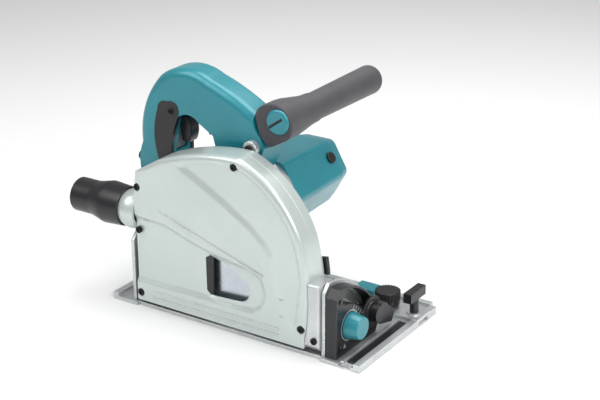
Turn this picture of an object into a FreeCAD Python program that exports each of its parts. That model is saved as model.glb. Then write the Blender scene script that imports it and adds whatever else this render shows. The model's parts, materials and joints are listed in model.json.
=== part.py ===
"""Track plunge saw, a parametric assembly of separate pieces.

Frame: +X is the cutting direction, +Y is the machine's left and +Z is up.  The origin
is the middle of the base's footprint on the sole.  All sizes are in millimetres.
"""
import FreeCAD, Part
import math
import os
import re
from types import SimpleNamespace

SIZES = {
    # base
    "base_length": 300.0, "base_width": 160.0, "plate_thick": 4.0, "rim_height": 8.0,
    "rim_width": 7.0, "rail_y": 45.0, "rail_width": 18.0, "rail_depth": 5.0,
    "rail_wall": 4.0, "corner_cut": 8.0, "edge_step": 3.5, "edge_strip": 1.8, "edge_gap": 1.5,
    "slot_half": 97.0, "slot_width": 16.2, "relief_width": 27.0, "relief_length": 78.0,
    "channel_width": 10.0, "insert_thick": 2.0,
    # blade case
    "cover_depth": 18.0, "case_depth": 12.0, "wall": 2.5, "case_bottom": 8.0,
    "case_top": 187.0, "case_rear": -117.0, "case_front": 93.0, "cover_round": 6.0,
    "screw_head": 4.5, "screw_proud": 1.6,
    # tilt and plunge axes
    "tilt_inset": 10.0, "pivot_x": -104.0, "pivot_z": 60.0, "pin_radius": 7.0,
    "blade_x": -4.0, "blade_z": 92.0, "plunge_angle": 36.3,
    # blade and spindle
    "blade_radius": 82.5, "blade_inset": 11.0, "blade_thick": 1.4, "bore_radius": 10.0,
    "blade_teeth": 48.0, "flange_radius": 19.0, "spindle_radius": 8.0,
    "nose_radius": 15.5, "slot_clear": 1.5,
    # gears
    "gear_teeth": 43.0, "pinion_teeth": 20.0, "gear_module": 1.0, "gear_width": 8.0,
    "gear_clear": 0.5, "backlash": 0.3, "armature_dx": -4.0, "gear_lobe_wall": 2.0,
    # gear and motor housings
    "arm_gap": 1.5, "lobe_depth": 13.0, "boss_depth": 12.0, "gearcase_depth": 44.5,
    "gearcase_radius": 37.0, "housing_wall": 3.0, "motor_length": 86.0,
    "motor_root": 42.5, "motor_tip": 39.5, "endcap_depth": 13.0, "stator_radius": 28.5,
    "armature_radius": 18.5, "shaft_radius": 5.0, "commutator_radius": 10.0, "commutator_half": 7.0,
    "corner_round": 9.0, "brush_angle": 35.0, "brush_inset": 9.0,
    # handle and front grip
    "handle_width": 36.0, "handle_top": 250.0, "handle_round": 9.0, "pad_depth": 4.0,
    "pad_proud": 0.8, "grip_x": 32.0, "grip_z": 215.0, "grip_radius": 14.0,
    "grip_end_radius": 15.5, "grip_seam_y": 18.0, "grip_end_y": 137.0,
    "collar_radius": 23.0, "gland_radius": 7.0, "disc_radius": 12.5, "disc_proud": 3.0,
    # brackets, quadrants and bevel parts
    "bracket_web": 7.0, "bracket_height": 78.0, "bracket_reach": 72.0,
    "tilt_gap": 0.5, "quadrant_thick": 4.0, "quadrant_radius": 79.0,
    "bevel_cover_thick": 13.0, "bevel_cover_radius": 75.0, "clamp_radius": 65.0,
    "clamp_bolt": 4.0, "clamp_slot": 9.0, "clamp_angle": 27.5, "tilt_range": 48.0,
    "stop_knob_radius": 14.0, "stop_knob_y": -52.0, "stop_knob_z": 32.0,
    # dust outlet
    "port_radius": 18.5, "port_z": 101.5, "port_length": 33.0, "port_wall": 2.5,
    "port_inset": 16.0, "nozzle_radius": 18.0, "nozzle_length": 55.0, "nozzle_straight": 22.0,
    "nozzle_wall": 2.2, "nozzle_overlap": 14.0, "running_clear": 0.05, "free_clear": 0.4,
    # pivot pin and spring
    "pin_length": 24.0, "pin_flange": 4.0, "pin_head": 3.0, "spring_wire": 0.8,
    "spring_pitch": 1.8, "spring_start": 13.6, "spring_clear": 2.5,
    # depth stop
    "stop_inner": 180.0, "stop_outer": 200.0, "stop_angle": 7.2, "stop_half": 2.6,
    "scale_thick": 1.2, "stop_thick": 5.4,
    # base fittings
    "boss_rise": 1.5, "boss_collar": 3.0, "knob_stem": 3.0, "stem_seat": 0.5,
    "stop_knob_depth": 15.0, "stop_knob_taper": 3.0, "tip_slot_rear": 64.0,
    "tip_slot_front": 90.0, "tip_slot_inset": 14.0, "tip_slot_width": 8.0, "tip_lift": 0.6,
    "tip_foot_rear": 66.0, "tip_foot_front": 74.0, "tip_tab_rear": 62.0,
    "tip_tab_front": 86.0, "tip_top": 16.0,
    "rail_knob_radius": 12.5, "rail_knob_height": 16.0, "rail_knob_x": 108.0,
    "wing_x": 139.0, "wing_stem": 4.5, "wing_height": 25.0, "wing_length": 30.0,
    "wing_thick": 9.0,
}
S = SimpleNamespace(**SIZES)
WORDS = {"cos", "sin", "sqrt"}

doc = FreeCAD.newDocument("track_plunge_saw")
sheet = doc.addObject("Spreadsheet::Sheet", "Sizes")
for row, (alias, value) in enumerate(SIZES.items(), start=1):
    sheet.set(f"A{row}", alias)
    sheet.set(f"B{row}", str(value))
    sheet.setAlias(f"B{row}", alias)
doc.recompute()

NODES = []


# ---------------------------------------------------------------- helpers
def bound(text):
    """Turn a formula of size names into an expression on the sheet's cells."""
    def cell(match):
        word = match.group(0)
        return word if word in WORDS else "Sizes." + word
    return re.sub(r"[a-z_][a-z_0-9]*", cell, text)


def bind(thing, prop, amount):
    """Set one property from a formula of size names or from a number."""
    if isinstance(amount, str):
        thing.setExpression(prop, bound(amount))
    else:
        thing.setExpression(prop, repr(float(amount)))


def span(low, high):
    """Formula of the length between two formulas."""
    return f"({high}) - ({low})"


def box(name, x, y, z):
    """Block between the low and high formulas of each axis."""
    block = doc.addObject("Part::Box", name)
    for prop, side in (("Length", x), ("Width", y), ("Height", z)):
        bind(block, prop, span(*side))
    for prop, side in (("x", x), ("y", y), ("z", z)):
        bind(block, "Placement.Base." + prop, str(side[0]))
    return block


TURNS = {
    "x": FreeCAD.Rotation(FreeCAD.Vector(0, 1, 0), 90),
    "y": FreeCAD.Rotation(FreeCAD.Vector(1, 0, 0), -90),
    "z": FreeCAD.Rotation(),
}


def along(shape, axis, low, centre):
    """Stand a round piece on its axis, with its first end at the formula low."""
    shape.Placement = FreeCAD.Placement(FreeCAD.Vector(), TURNS[axis])
    names = [letter for letter in "xyz" if letter != axis]
    bind(shape, "Placement.Base." + axis, str(low))
    for letter, place in zip(names, centre):
        bind(shape, "Placement.Base." + letter, str(place))
    return shape


def rod(name, axis, radius, low, high, centre):
    """Cylinder along an axis; centre gives its other two coordinates in order."""
    shape = doc.addObject("Part::Cylinder", name)
    bind(shape, "Radius", radius)
    bind(shape, "Height", span(low, high))
    return along(shape, axis, low, centre)


def taper(name, axis, radii, low, high, centre):
    """Cone along an axis, from the first radius to the second."""
    shape = doc.addObject("Part::Cone", name)
    bind(shape, "Radius1", radii[0])
    bind(shape, "Radius2", radii[1])
    bind(shape, "Height", span(low, high))
    return along(shape, axis, low, centre)


def fuse(name, *shapes):
    """Join shapes that touch into one."""
    joined = doc.addObject("Part::MultiFuse", name)
    joined.Shapes = list(shapes)
    joined.Refine = True
    return joined


def cut(name, base, *tools):
    """Take tools away from a base."""
    tool = tools[0] if len(tools) == 1 else fuse(name + "_tools", *tools)
    result = doc.addObject("Part::Cut", name)
    result.Base = base
    result.Tool = tool
    return result


def group(name, *shapes):
    """Several separate solids in one node."""
    several = doc.addObject("Part::Compound", name)
    several.Links = list(shapes)
    return several


def soften(name, base, radius, test):
    """Fillet the edges that pass a test, with the radius from the sheet."""
    doc.recompute()
    edges = [i for i, edge in enumerate(base.Shape.Edges, start=1) if test(edge)]
    result = doc.addObject("Part::Fillet", name)
    result.Base = base
    size = getattr(S, radius) if isinstance(radius, str) else radius
    result.Edges = [(i, size, size) for i in edges]
    return result


PLANES = {"xy": "XY_Plane", "xz": "XZ_Plane", "yz": "YZ_Plane"}


def sketch_on(body, plane, offset):
    """Sketch on one of a body's own planes, lifted along the plane's normal."""
    sketch = body.newObject("Sketcher::SketchObject", body.Name + "_sketch")
    role = PLANES[plane]
    support = [item for item in body.Origin.OriginFeatures if item.Role == role][0]
    sketch.AttachmentSupport = [(support, "")]
    sketch.MapMode = "FlatFace"
    bind(sketch, "AttachmentOffset.Base.z", offset)
    return sketch


def trace(sketch, outline):
    """Draw a closed outline; a point marked 'via' is the middle of an arc."""
    points = [FreeCAD.Vector(p[0], p[1], 0) for p in outline]
    marks = [len(p) > 2 for p in outline]
    count = len(points)
    edges = []
    i = 0
    while i < count:
        if marks[(i + 1) % count]:
            edges.append(Part.Arc(points[i], points[(i + 1) % count], points[(i + 2) % count]))
            i += 2
        else:
            edges.append(Part.LineSegment(points[i], points[(i + 1) % count]))
            i += 1
    sketch.addGeometry(edges, False)


def prism(name, plane, outline, low, high):
    """Pad of an outline between two formulas along the plane's axis."""
    body = doc.addObject("PartDesign::Body", name)
    flipped = plane == "xz"
    start = f"-({high})" if flipped else str(low)
    sketch = sketch_on(body, plane, start)
    trace(sketch, outline)
    pad = body.newObject("PartDesign::Pad", name + "_pad")
    pad.Profile = sketch
    bind(pad, "Length", span(low, high))
    body.Tip = pad
    return body


def turned(name, axis, outline, centre):
    """Revolve a half section of (along, radius) points about a line along an axis."""
    body = doc.addObject("PartDesign::Body", name)
    plane = "xz" if axis == "x" else "yz"
    sketch = sketch_on(body, plane, 0.0)
    trace(sketch, outline)
    revolve = body.newObject("PartDesign::Revolution", name + "_turn")
    revolve.Profile = sketch
    revolve.ReferenceAxis = (sketch, ["H_Axis"])
    revolve.Angle = 360.0
    body.Tip = revolve
    letters = "yz" if axis == "x" else "xz"
    for letter, place in zip(letters, centre):
        bind(body, "Placement.Base." + letter, str(place))
    return body


def arc_points(centre, radius, start, end):
    """First, middle and last point of an arc, the middle marked as on an arc."""
    places = []
    for angle in (start, (start + end) / 2.0, end):
        turn = math.radians(angle)
        places.append((centre[0] + radius * math.cos(turn), centre[1] + radius * math.sin(turn)))
    return [places[0], (*places[1], "via"), places[2]]


def inset(outline, amount):
    """Move each point of a clockwise or anticlockwise outline inwards."""
    count = len(outline)
    area = sum(outline[i][0] * outline[(i + 1) % count][1]
               - outline[(i + 1) % count][0] * outline[i][1] for i in range(count))
    side = 1.0 if area > 0 else -1.0
    moved = []
    for i, point in enumerate(outline):
        before = outline[i - 1]
        after = outline[(i + 1) % count]
        first = math.atan2(point[1] - before[1], point[0] - before[0])
        second = math.atan2(after[1] - point[1], after[0] - point[0])
        half = math.remainder(second - first, 2 * math.pi) / 2.0
        angle = first + half + side * math.pi / 2.0
        step = amount / math.cos(half)
        moved.append((point[0] + step * math.cos(angle), point[1] + step * math.sin(angle),
                      *point[2:]))
    return moved


def node(name, shape):
    """Name a finished piece and keep it for writing."""
    shape.Label = name
    NODES.append(shape)
    return shape


# ---------------------------------------------------------------- shared places
Y_OUT = "-base_width / 2"
Y_SPLIT = f"{Y_OUT} + cover_depth"
Y_IN = f"{Y_SPLIT} + case_depth"
Y_BLADE = f"{Y_OUT} + blade_inset"
Y_TILT = f"{Y_OUT} + tilt_inset"
Y_GEAR = f"{Y_IN} + arm_gap"
Y_LOBE = f"{Y_GEAR} + lobe_depth"
Y_BOSS = f"{Y_LOBE} + boss_depth"
Y_MOTOR = f"{Y_GEAR} + gearcase_depth"
Y_CAP = f"{Y_MOTOR} + motor_length"
Y_END = f"{Y_CAP} + endcap_depth"
Y_BRUSH = f"{Y_CAP} - brush_inset"
Y_HANDLE = f"{Y_MOTOR} - handle_width"
Y_HALF = f"{Y_MOTOR} - handle_width / 2"
SPINDLE = ("blade_x", "blade_z")
PIVOT = ("pivot_x", "pivot_z")
RIB_PLACES = (-95.0, -40.0, 15.0, 62.0)
COVER_SCREWS = ((-112.0, 133.0), (8.0, 178.0), (-112.0, 86.4), (-112.0, 17.0), (84.0, 28.0))
BEVEL_SCREWS = ((-68.0, 62.0), (-68.0, 14.0))
SPRING_TURNS = 5
FAN_BLADES = 12

y_out = -S.base_width / 2
y_split = y_out + S.cover_depth
y_in = y_split + S.case_depth
y_blade = y_out + S.blade_inset
y_tilt = y_out + S.tilt_inset
y_gear = y_in + S.arm_gap
y_lobe = y_gear + S.lobe_depth
y_boss = y_lobe + S.boss_depth
y_motor = y_gear + S.gearcase_depth
y_cap = y_motor + S.motor_length
y_end = y_cap + S.endcap_depth
y_brush = y_cap - S.brush_inset
y_handle = y_motor - S.handle_width
y_half = y_motor - S.handle_width / 2
centre_distance = S.gear_module * (S.gear_teeth + S.pinion_teeth) / 2
motor_x = S.blade_x + S.armature_dx
motor_z = S.blade_z + math.sqrt(centre_distance ** 2 - S.armature_dx ** 2)
MOTOR = (repr(motor_x), repr(motor_z))
swing = math.hypot(S.blade_x - S.pivot_x, S.blade_z - S.pivot_z)
rest_angle = math.degrees(math.atan2(S.blade_z - S.pivot_z, S.blade_x - S.pivot_x))
bracket_front = S.case_front + 11.5
x_quadrant = bracket_front + S.tilt_gap
x_cover = x_quadrant + S.quadrant_thick
x_face = x_cover + S.bevel_cover_thick


# ---------------------------------------------------------------- base
def base_outline():
    """Plan of the plate: cut corners and a stepped right edge beside the blade."""
    half, side, corner = S.base_length / 2, S.base_width / 2, S.corner_cut
    step = y_out + S.edge_step
    rear, front = S.case_rear - S.edge_gap, bracket_front + S.edge_gap
    return [(-half, y_out), (rear, y_out), (rear, step), (front, step), (front, y_out),
            (half, y_out), (half, side - corner), (half - corner, side),
            (corner - half, side), (-half, side - corner)]


def make_base():
    """Cast base: plate, rims, rail ridge, front channel and bosses."""
    plate = prism("plate", "xy", base_outline(), "0", "plate_thick")
    front = box("front_rim", ("base_length / 2 - rim_width", "base_length / 2"),
                (Y_OUT, "base_width / 2 - corner_cut"), ("0", "rim_height"))
    rear = box("rear_rim", ("-base_length / 2", "rim_width - base_length / 2"),
               (Y_OUT, "base_width / 2 - corner_cut"), ("0", "rim_height"))
    left = box("left_rim", ("corner_cut - base_length / 2", "base_length / 2 - corner_cut"),
               ("base_width / 2 - rim_width", "base_width / 2"), ("0", "rim_height"))
    inner = "base_length / 2 - rim_width - channel_width"
    ridge = box("channel_ridge", (f"{inner} - rim_width / 2", inner),
                (Y_OUT, "rail_y - rail_width"), ("0", "rim_height"))
    rail = box("rail_ridge", ("-base_length / 2", "base_length / 2"),
               ("rail_y - rail_width / 2 - rail_wall", "rail_y + rail_width / 2 + rail_wall"),
               ("0", "rail_depth + rail_wall"))
    ribs = []
    for i, place in enumerate(RIB_PLACES):
        ribs.append(box(f"rib_{i}", (str(place), f"{place} + rim_width / 2"),
                        (f"{Y_OUT} + 58", "base_width / 2"), ("0", "rim_height - 1")))
    bosses = []
    for i, sign in enumerate(("", "-")):
        for j, (place, radius) in enumerate((("rail_knob_x", "rail_knob_radius - boss_collar"),
                                             ("wing_x", "wing_stem + boss_collar"))):
            bosses.append(rod(f"boss_{i}_{j}", "z", radius, "0", "rail_depth + rail_wall + boss_rise",
                              (f"{sign}{place}", "rail_y")))
    whole = fuse("base_whole", plate, front, rear, left, ridge, rail, *ribs, *bosses)
    slot = box("blade_slot", ("-slot_half", "slot_half"),
               (f"{Y_OUT} + edge_step + edge_strip", f"{Y_OUT} + edge_step + edge_strip + slot_width"),
               ("-1", "rim_height + 1"))
    relief = box("gear_relief", ("blade_x - relief_length / 2", "blade_x + relief_length / 2"),
                 (f"{Y_OUT} + edge_step + edge_strip + 1",
                  f"{Y_OUT} + edge_step + edge_strip + slot_width + relief_width"),
                 ("-1", "rim_height + 1"))
    groove = box("rail_groove", ("-base_length / 2 - 1", "base_length / 2 + 1"),
                 ("rail_y - rail_width / 2", "rail_y + rail_width / 2"), ("-1", "rail_depth"))
    holes = []
    for i, sign in enumerate(("", "-")):
        holes.append(rod(f"knob_hole_{i}", "z", "knob_stem + free_clear", "0", "30",
                         (f"{sign}rail_knob_x", "rail_y")))
        holes.append(rod(f"wing_hole_{i}", "z", "wing_stem - 1.5 + free_clear", "0", "30",
                         (f"{sign}wing_x", "rail_y")))
    pocket = box("side_pocket", ("base_length / 2 - 24", "base_length / 2 - rim_width - 3"),
                 (f"{Y_OUT} - 1", f"{Y_OUT} + 5"), ("1.5", "rim_height - 2"))
    tip_slot = box("tip_slot", ("tip_slot_rear", "tip_slot_front"),
                   ("rail_y + tip_slot_inset", "rail_y + tip_slot_inset + tip_slot_width"), ("-1", "20"))
    node("base_plate", cut("base", whole, slot, relief, groove, pocket, tip_slot, *holes))
    node("front_insert", box("insert", (inner, "base_length / 2 - rim_width"),
                             (f"{Y_OUT} + rim_width", "rail_y - rail_width"),
                             ("plate_thick", "plate_thick + insert_thick")))


def arc_band(centre, radius, width, start, end):
    """Curved slot outline of a given width with round ends."""
    outer = arc_points(centre, radius + width / 2, start, end)
    inner = arc_points(centre, radius - width / 2, end, start)
    ends = []
    for angle, turn in ((end, 1.0), (start, -1.0)):
        a = math.radians(angle)
        ends.append((centre[0] + radius * math.cos(a) - turn * width / 2 * math.sin(a),
                     centre[1] + radius * math.sin(a) + turn * width / 2 * math.cos(a), "via"))
    return outer + [ends[0]] + inner + [ends[1]]


def quadrant_outline(radius):
    """Upright quarter plate about the tilt axis, standing on the plate."""
    foot = S.plate_thick
    right = y_out + 4.0
    top = math.sqrt(radius ** 2 - (right + 8.0 - y_tilt) ** 2)
    low_angle = math.degrees(math.asin((foot + 10.0) / radius))
    high_angle = math.degrees(math.atan2(top, right + 8.0 - y_tilt))
    first, middle, last = arc_points((y_tilt, 0.0), radius, low_angle, high_angle)
    return [(right, foot), (first[0] - 6.0, foot), first, middle, last, (right, top - 8.0)]


def clamp_slot(name, low, high, width):
    """Curved slot that the bevel clamp's bolt runs in."""
    return prism(name, "yz", arc_band((y_tilt, 0.0), S.clamp_radius, width,
                                      S.clamp_angle - 4.0, S.clamp_angle + S.tilt_range + 3.0),
                 low, high)


def make_quadrants():
    """Front and rear quadrants on the base, and the black scale cover."""
    front = prism("quadrant_f", "yz", quadrant_outline(S.quadrant_radius),
                  repr(x_quadrant), f"{x_quadrant} + quadrant_thick")
    node("front_quadrant", cut("quadrant_front", front,
                               clamp_slot("slot_f", repr(x_quadrant - 1), repr(x_cover + 1), S.clamp_slot)))
    outline = quadrant_outline(S.bevel_cover_radius)
    block = prism("bevel_block", "yz", outline, repr(x_cover), f"{x_cover} + bevel_cover_thick")
    bore = rod("stop_bore", "x", "knob_stem + free_clear", repr(x_face - 8), repr(x_face + 1),
               ("stop_knob_y", "stop_knob_z"))
    node("bevel_cover", cut("bevel_cover_cut", block, bore,
                            clamp_slot("slot_c", repr(x_cover - 1), repr(x_face + 1), S.clamp_slot + 6.0)))
    x_rear = S.case_rear - 5.0
    rear = prism("quadrant_r", "yz", quadrant_outline(S.quadrant_radius),
                 f"{x_rear} - quadrant_thick", repr(x_rear))
    node("rear_quadrant", cut("quadrant_rear", rear,
                              clamp_slot("slot_r", repr(x_rear - 9), repr(x_rear + 1), S.clamp_slot)))
    screws = []
    for i, (y, z) in enumerate(BEVEL_SCREWS):
        screws.append(rod(f"bevel_screw_{i}", "x", "2.6", repr(x_face), f"{x_face} + 1.4",
                          (repr(y), repr(z))))
    node("bevel_cover_screws", group("bevel_screws", *screws))


def make_base_fittings():
    """Rail adjusters, guide-rule wing screws, stop knob and anti-tip lever."""
    top = "rail_depth + rail_wall + boss_rise"
    for side, sign in (("front", ""), ("rear", "-")):
        centre = (f"{sign}rail_knob_x", "rail_y")
        head = rod("knob_head_" + side, "z", "rail_knob_radius", f"{top} + free_clear",
                   f"{top} + rail_knob_height", centre)
        stem = rod("knob_stem_" + side, "z", "knob_stem", "rail_depth + stem_seat", f"{top} + 2", centre)
        edge = soften("knob_edge_" + side, head, 1.5, lambda e: e.BoundBox.ZMin > 20.0)
        node("rail_knob_" + side, fuse("rail_knob_f_" + side, edge, stem))
        centre = (f"{sign}wing_x", "rail_y")
        stem = rod("wing_stem_" + side, "z", "wing_stem - 1.5", "rail_depth + stem_seat",
                   f"{top} + 4", centre)
        neck = rod("wing_neck_" + side, "z", "wing_stem", f"{top} + free_clear",
                   f"{top} + wing_height - 8", centre)
        bar = box("wing_bar_" + side, (f"{sign}wing_x - wing_thick / 2", f"{sign}wing_x + wing_thick / 2"),
                  ("rail_y - wing_length / 2", "rail_y + wing_length / 2"),
                  (f"{top} + wing_height - 10", f"{top} + wing_height"))
        node("wing_screw_" + side, fuse("wing_" + side, stem, neck, bar))
    skirt = taper("stop_skirt", "x", ("stop_knob_radius", "stop_knob_radius - stop_knob_taper"),
                  f"{x_face} + free_clear", f"{x_face} + stop_knob_depth", ("stop_knob_y", "stop_knob_z"))
    stem = rod("stop_stem", "x", "knob_stem", repr(x_face - 7), f"{x_face} + 3",
               ("stop_knob_y", "stop_knob_z"))
    node("bevel_stop_knob", fuse("stop_knob", skirt, stem))
    foot = box("tip_foot", ("tip_foot_rear", "tip_foot_front"),
               ("rail_y + tip_slot_inset + 1", "rail_y + tip_slot_inset + tip_slot_width - 1"),
               ("tip_lift", "10"))
    tab = box("tip_tab", ("tip_tab_rear", "tip_tab_front"),
              ("rail_y + tip_slot_inset - 6", "rail_y + tip_slot_inset + tip_slot_width + 4"),
              ("rail_depth + rail_wall + stem_seat", "tip_top"))
    node("anti_tip_lever", fuse("tip_lever", foot, tab))


# ---------------------------------------------------------------- blade case
def case_outline():
    """Side view of the case: rear edge, crowned top and a front arc about the pivot."""
    top, rear, front, low = S.case_top, S.case_rear, S.case_front, S.case_bottom
    return [(rear, low), (front - 6.0, low), (front, low + 52.0, "via"), (front - 9.0, top - 70.0),
            (front - 35.0, top - 29.0, "via"), (12.0, top), (-40.0, top - 5.5, "via"),
            (rear + 29.0, top - 22.0), (rear + 4.0, top - 37.0), (rear, top - 66.0)]


def cavity_outline(amount):
    """Inside of the case, open at the bottom."""
    inner = inset(case_outline(), amount)
    return [(p[0], S.case_bottom - 6.0) if abs(p[1] - S.case_bottom - amount) < 0.1 else p
            for p in inner]


def window_outline():
    """Sight window: square at the rear and round at the front."""
    return [(-29.5, 40.0), (-25.0, 35.6), (10.0, 37.4), (22.5, 47.5, "via"), (14.0, 63.0),
            (3.0, 71.5), (-24.0, 79.0), (-30.0, 75.0)]


def make_case():
    """Cover and inner half of the blade case, with window, slot and holes."""
    outline = case_outline()
    block = prism("cover_block", "xz", outline, Y_OUT, Y_SPLIT)
    rounded = soften("cover_rounded", block, "cover_round",
                     lambda e: e.BoundBox.YMax < y_out + 0.01)
    hollow = prism("cover_hollow", "xz", cavity_outline(S.wall), f"{Y_OUT} + wall", f"{Y_SPLIT} + 1")
    window = prism("window", "xz", window_outline(), f"{Y_OUT} - 1", f"{Y_OUT} + wall + 1")
    port = rod("cover_port", "x", "port_radius - port_wall", "case_rear - 5", "case_rear + 12",
               (f"{Y_OUT} + port_inset", "port_z"))
    screws, holes = [], []
    for i, (x, z) in enumerate(COVER_SCREWS):
        holes.append(rod(f"screw_hole_{i}", "y", "screw_head - 1.5", f"{Y_OUT} - 1",
                         f"{Y_OUT} + wall + 4", (repr(x), repr(z))))
        head = rod(f"screw_head_{i}", "y", "screw_head", f"{Y_OUT} - screw_proud", Y_OUT,
                   (repr(x), repr(z)))
        shank = rod(f"screw_shank_{i}", "y", "screw_head - 1.5", Y_OUT, f"{Y_OUT} + wall",
                    (repr(x), repr(z)))
        socket = rod(f"screw_socket_{i}", "y", "1.7", f"{Y_OUT} - screw_proud - 1",
                     f"{Y_OUT} - 0.2", (repr(x), repr(z)))
        screws.append(cut(f"cover_screw_{i}", fuse(f"screw_{i}", head, shank), socket))
    node("blade_cover", cut("cover", rounded, hollow, window, port, *holes))
    screws.append(rod("bracket_screw", "y", "screw_head", f"{Y_OUT} - screw_proud", Y_OUT,
                      ("case_front + 6.3", "20")))
    node("cover_screws", group("cover_screw_set", *screws))
    half = prism("case_block", "xz", outline, Y_SPLIT, Y_IN)
    inside = prism("case_hollow", "xz", cavity_outline(S.wall), f"{Y_SPLIT} - 1", f"{Y_IN} - wall")
    slot_radius = S.nose_radius + S.slot_clear
    swept = prism("nose_slot", "xz",
                  arc_band((S.pivot_x, S.pivot_z), swing, 2 * slot_radius,
                           rest_angle - S.plunge_angle - 0.3, rest_angle + 0.6),
                  f"{Y_IN} - wall - 1", f"{Y_IN} + 1")
    port_in = rod("case_port", "x", "port_radius - port_wall", "case_rear - 5", "case_rear + 12",
                  (f"{Y_OUT} + port_inset", "port_z"))
    pin_hole = rod("pin_hole", "y", "pin_radius", f"{Y_SPLIT} + 1", f"{Y_IN} + 1", PIVOT)
    node("blade_case", cut("case_half", half, inside, swept, port_in, pin_hole))
    return outline


def make_case_fittings(outline):
    """Brackets, dust outlet, pivot pin, spring and depth scale."""
    keep_out = prism("case_envelope", "xz", outline, f"{Y_OUT} - 5", f"{Y_IN} + 0.01")
    profile = [(y_out, S.case_bottom + S.cover_round), (y_out + S.cover_round, S.case_bottom),
               (y_out + S.bracket_reach - 10, S.case_bottom + 4.0),
               (y_out + S.bracket_reach, S.case_bottom + 12.0), (y_out + S.bracket_reach, 42.0),
               (y_out + 50.0, 60.0, "via"), (y_out + 24.0, S.bracket_height),
               (y_out, S.bracket_height)]
    block = prism("bracket_block", "yz", profile, "case_front - 8", repr(bracket_front))
    bolt = rod("bracket_bolt_hole", "x", "clamp_bolt + free_clear", "0", "200",
               (repr(clamp_y), repr(clamp_z)))
    rounded = soften("bracket_round", block, 3.0, lambda e: e.BoundBox.YMax < y_out + 0.01
                     and e.BoundBox.ZMin > S.case_bottom + 1)
    bay = box("stop_bay", ("0", repr(bracket_front - S.bracket_web)), (f"{Y_IN}", "base_width"),
              ("0", "200"))
    node("front_bracket", cut("bracket_front_cut", rounded, keep_out, bolt, bay))
    x_rear = S.case_rear - 4.5
    rear = box("rear_block", (repr(x_rear), "case_rear + 15"),
               (f"{Y_IN} + 0.02", f"{Y_OUT} + bracket_reach"),
               ("case_bottom + 3", "pivot_z - pin_radius - 10"))
    rear_bolt = rod("rear_bolt_hole", "x", "clamp_bolt + free_clear", "-200", "0",
                    (repr(clamp_y), repr(clamp_z)))
    node("rear_bracket", cut("bracket_rear_cut", rear, rear_bolt))
    centre = (f"{Y_OUT} + port_inset", "port_z")
    tube = rod("port_tube", "x", "port_radius", "case_rear - port_length", "case_rear", centre)
    bore = rod("port_bore", "x", "port_radius - port_wall", "case_rear - port_length - 1",
               "case_rear + 1", centre)
    node("dust_outlet", cut("port", tube, bore))
    pin = rod("pin_body", "y", "pin_radius", f"{Y_IN} - wall", f"{Y_IN} + pin_length", PIVOT)
    head = rod("pin_head", "y", "pin_radius + pin_flange", f"{Y_IN} + pin_length + 1 - pin_head",
               f"{Y_IN} + pin_length + 1", PIVOT)
    node("pivot_pin", fuse("pin", pin, head))
    coils = []
    for i in range(SPRING_TURNS):
        coil = doc.addObject("Part::Torus", f"coil_{i}")
        bind(coil, "Radius1", "pin_radius + spring_clear")
        bind(coil, "Radius2", "spring_wire")
        coils.append(along(coil, "y", f"{Y_IN} + spring_start + spring_pitch * {i}", PIVOT))
    node("plunge_spring", group("spring_coils", *coils))
    band = arc_band((S.pivot_x, S.pivot_z), S.stop_inner + 5.0, 8.0, -12.0, 24.0)
    node("depth_scale", prism("scale_arc", "xz", band, f"{Y_IN}", f"{Y_IN} + scale_thick"))


def make_nozzle():
    """Black nozzle that turns on the dust outlet."""
    root = S.case_rear - S.port_length
    wide = S.port_radius + S.running_clear
    outer = wide + S.nozzle_wall
    end = root - S.nozzle_length + 4.0
    tip = S.nozzle_radius
    bore = tip - S.nozzle_wall
    half = [(root + S.nozzle_overlap, wide), (root + S.nozzle_overlap, outer),
            (root - 10.0, outer + 1.6), (root - 22.0, tip + 1.4), (end + S.nozzle_straight, tip), (end, tip),
            (end, bore), (root - 20.0, bore), (root - 8.0, wide - 3.0), (root - 4.0, wide - 3.0),
            (root - 4.0, wide)]
    node("dust_nozzle", turned("nozzle", "x", half, (f"{Y_OUT} + port_inset", "port_z")))


# ---------------------------------------------------------------- clamps and stop
clamp_y = y_tilt + S.clamp_radius * math.cos(math.radians(S.clamp_angle))
clamp_z = S.clamp_radius * math.sin(math.radians(S.clamp_angle))


def make_clamps():
    """Front and rear bevel clamp levers with their bolts."""
    centre = (repr(clamp_y), repr(clamp_z))
    paddle = [(clamp_y - 6.0, clamp_z - 7.0), (clamp_y + 4.0, clamp_z + 9.0),
              (clamp_y + 12.0, clamp_z + 8.0), (clamp_y + 30.0, clamp_z - 9.0),
              (clamp_y + 24.0, clamp_z - 18.0), (clamp_y + 2.0, clamp_z - 12.0)]
    bolt = rod("clamp_shank_f", "x", "clamp_bolt", "case_front + 2", f"{x_face} + 6", centre)
    boss = rod("clamp_boss_f", "x", "clamp_slot - 0.5", f"{x_face} + free_clear", f"{x_face} + 11", centre)
    wing = prism("clamp_wing_f", "yz", paddle, f"{x_face} + 3", f"{x_face} + 10")
    node("clamp_lever_front", fuse("clamp_front", bolt, boss, wing))
    x_rear = S.case_rear - 5.0 - S.quadrant_thick
    bolt = rod("clamp_shank_r", "x", "clamp_bolt", f"{x_rear} - 5", "case_rear + 2", centre)
    boss = rod("clamp_boss_r", "x", "clamp_slot - 0.5", f"{x_rear} - 10", f"{x_rear} - free_clear", centre)
    wing = prism("clamp_wing_r", "yz", paddle, f"{x_rear} - 9", f"{x_rear} - 3")
    node("clamp_lever_rear", fuse("clamp_rear", bolt, boss, wing))


def make_depth_stop():
    """Depth stop that slides round the scale, with its finger knob."""
    centre = (S.pivot_x, S.pivot_z)
    low_angle, high_angle = S.stop_angle - S.stop_half, S.stop_angle + S.stop_half
    band = (arc_points(centre, S.stop_outer, low_angle, high_angle)
            + arc_points(centre, S.stop_inner, high_angle, low_angle))
    low = f"{Y_IN} + scale_thick + free_clear"
    node("depth_stop", prism("stop_block", "xz", band, low, f"{low} + stop_thick - 1"))


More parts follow.
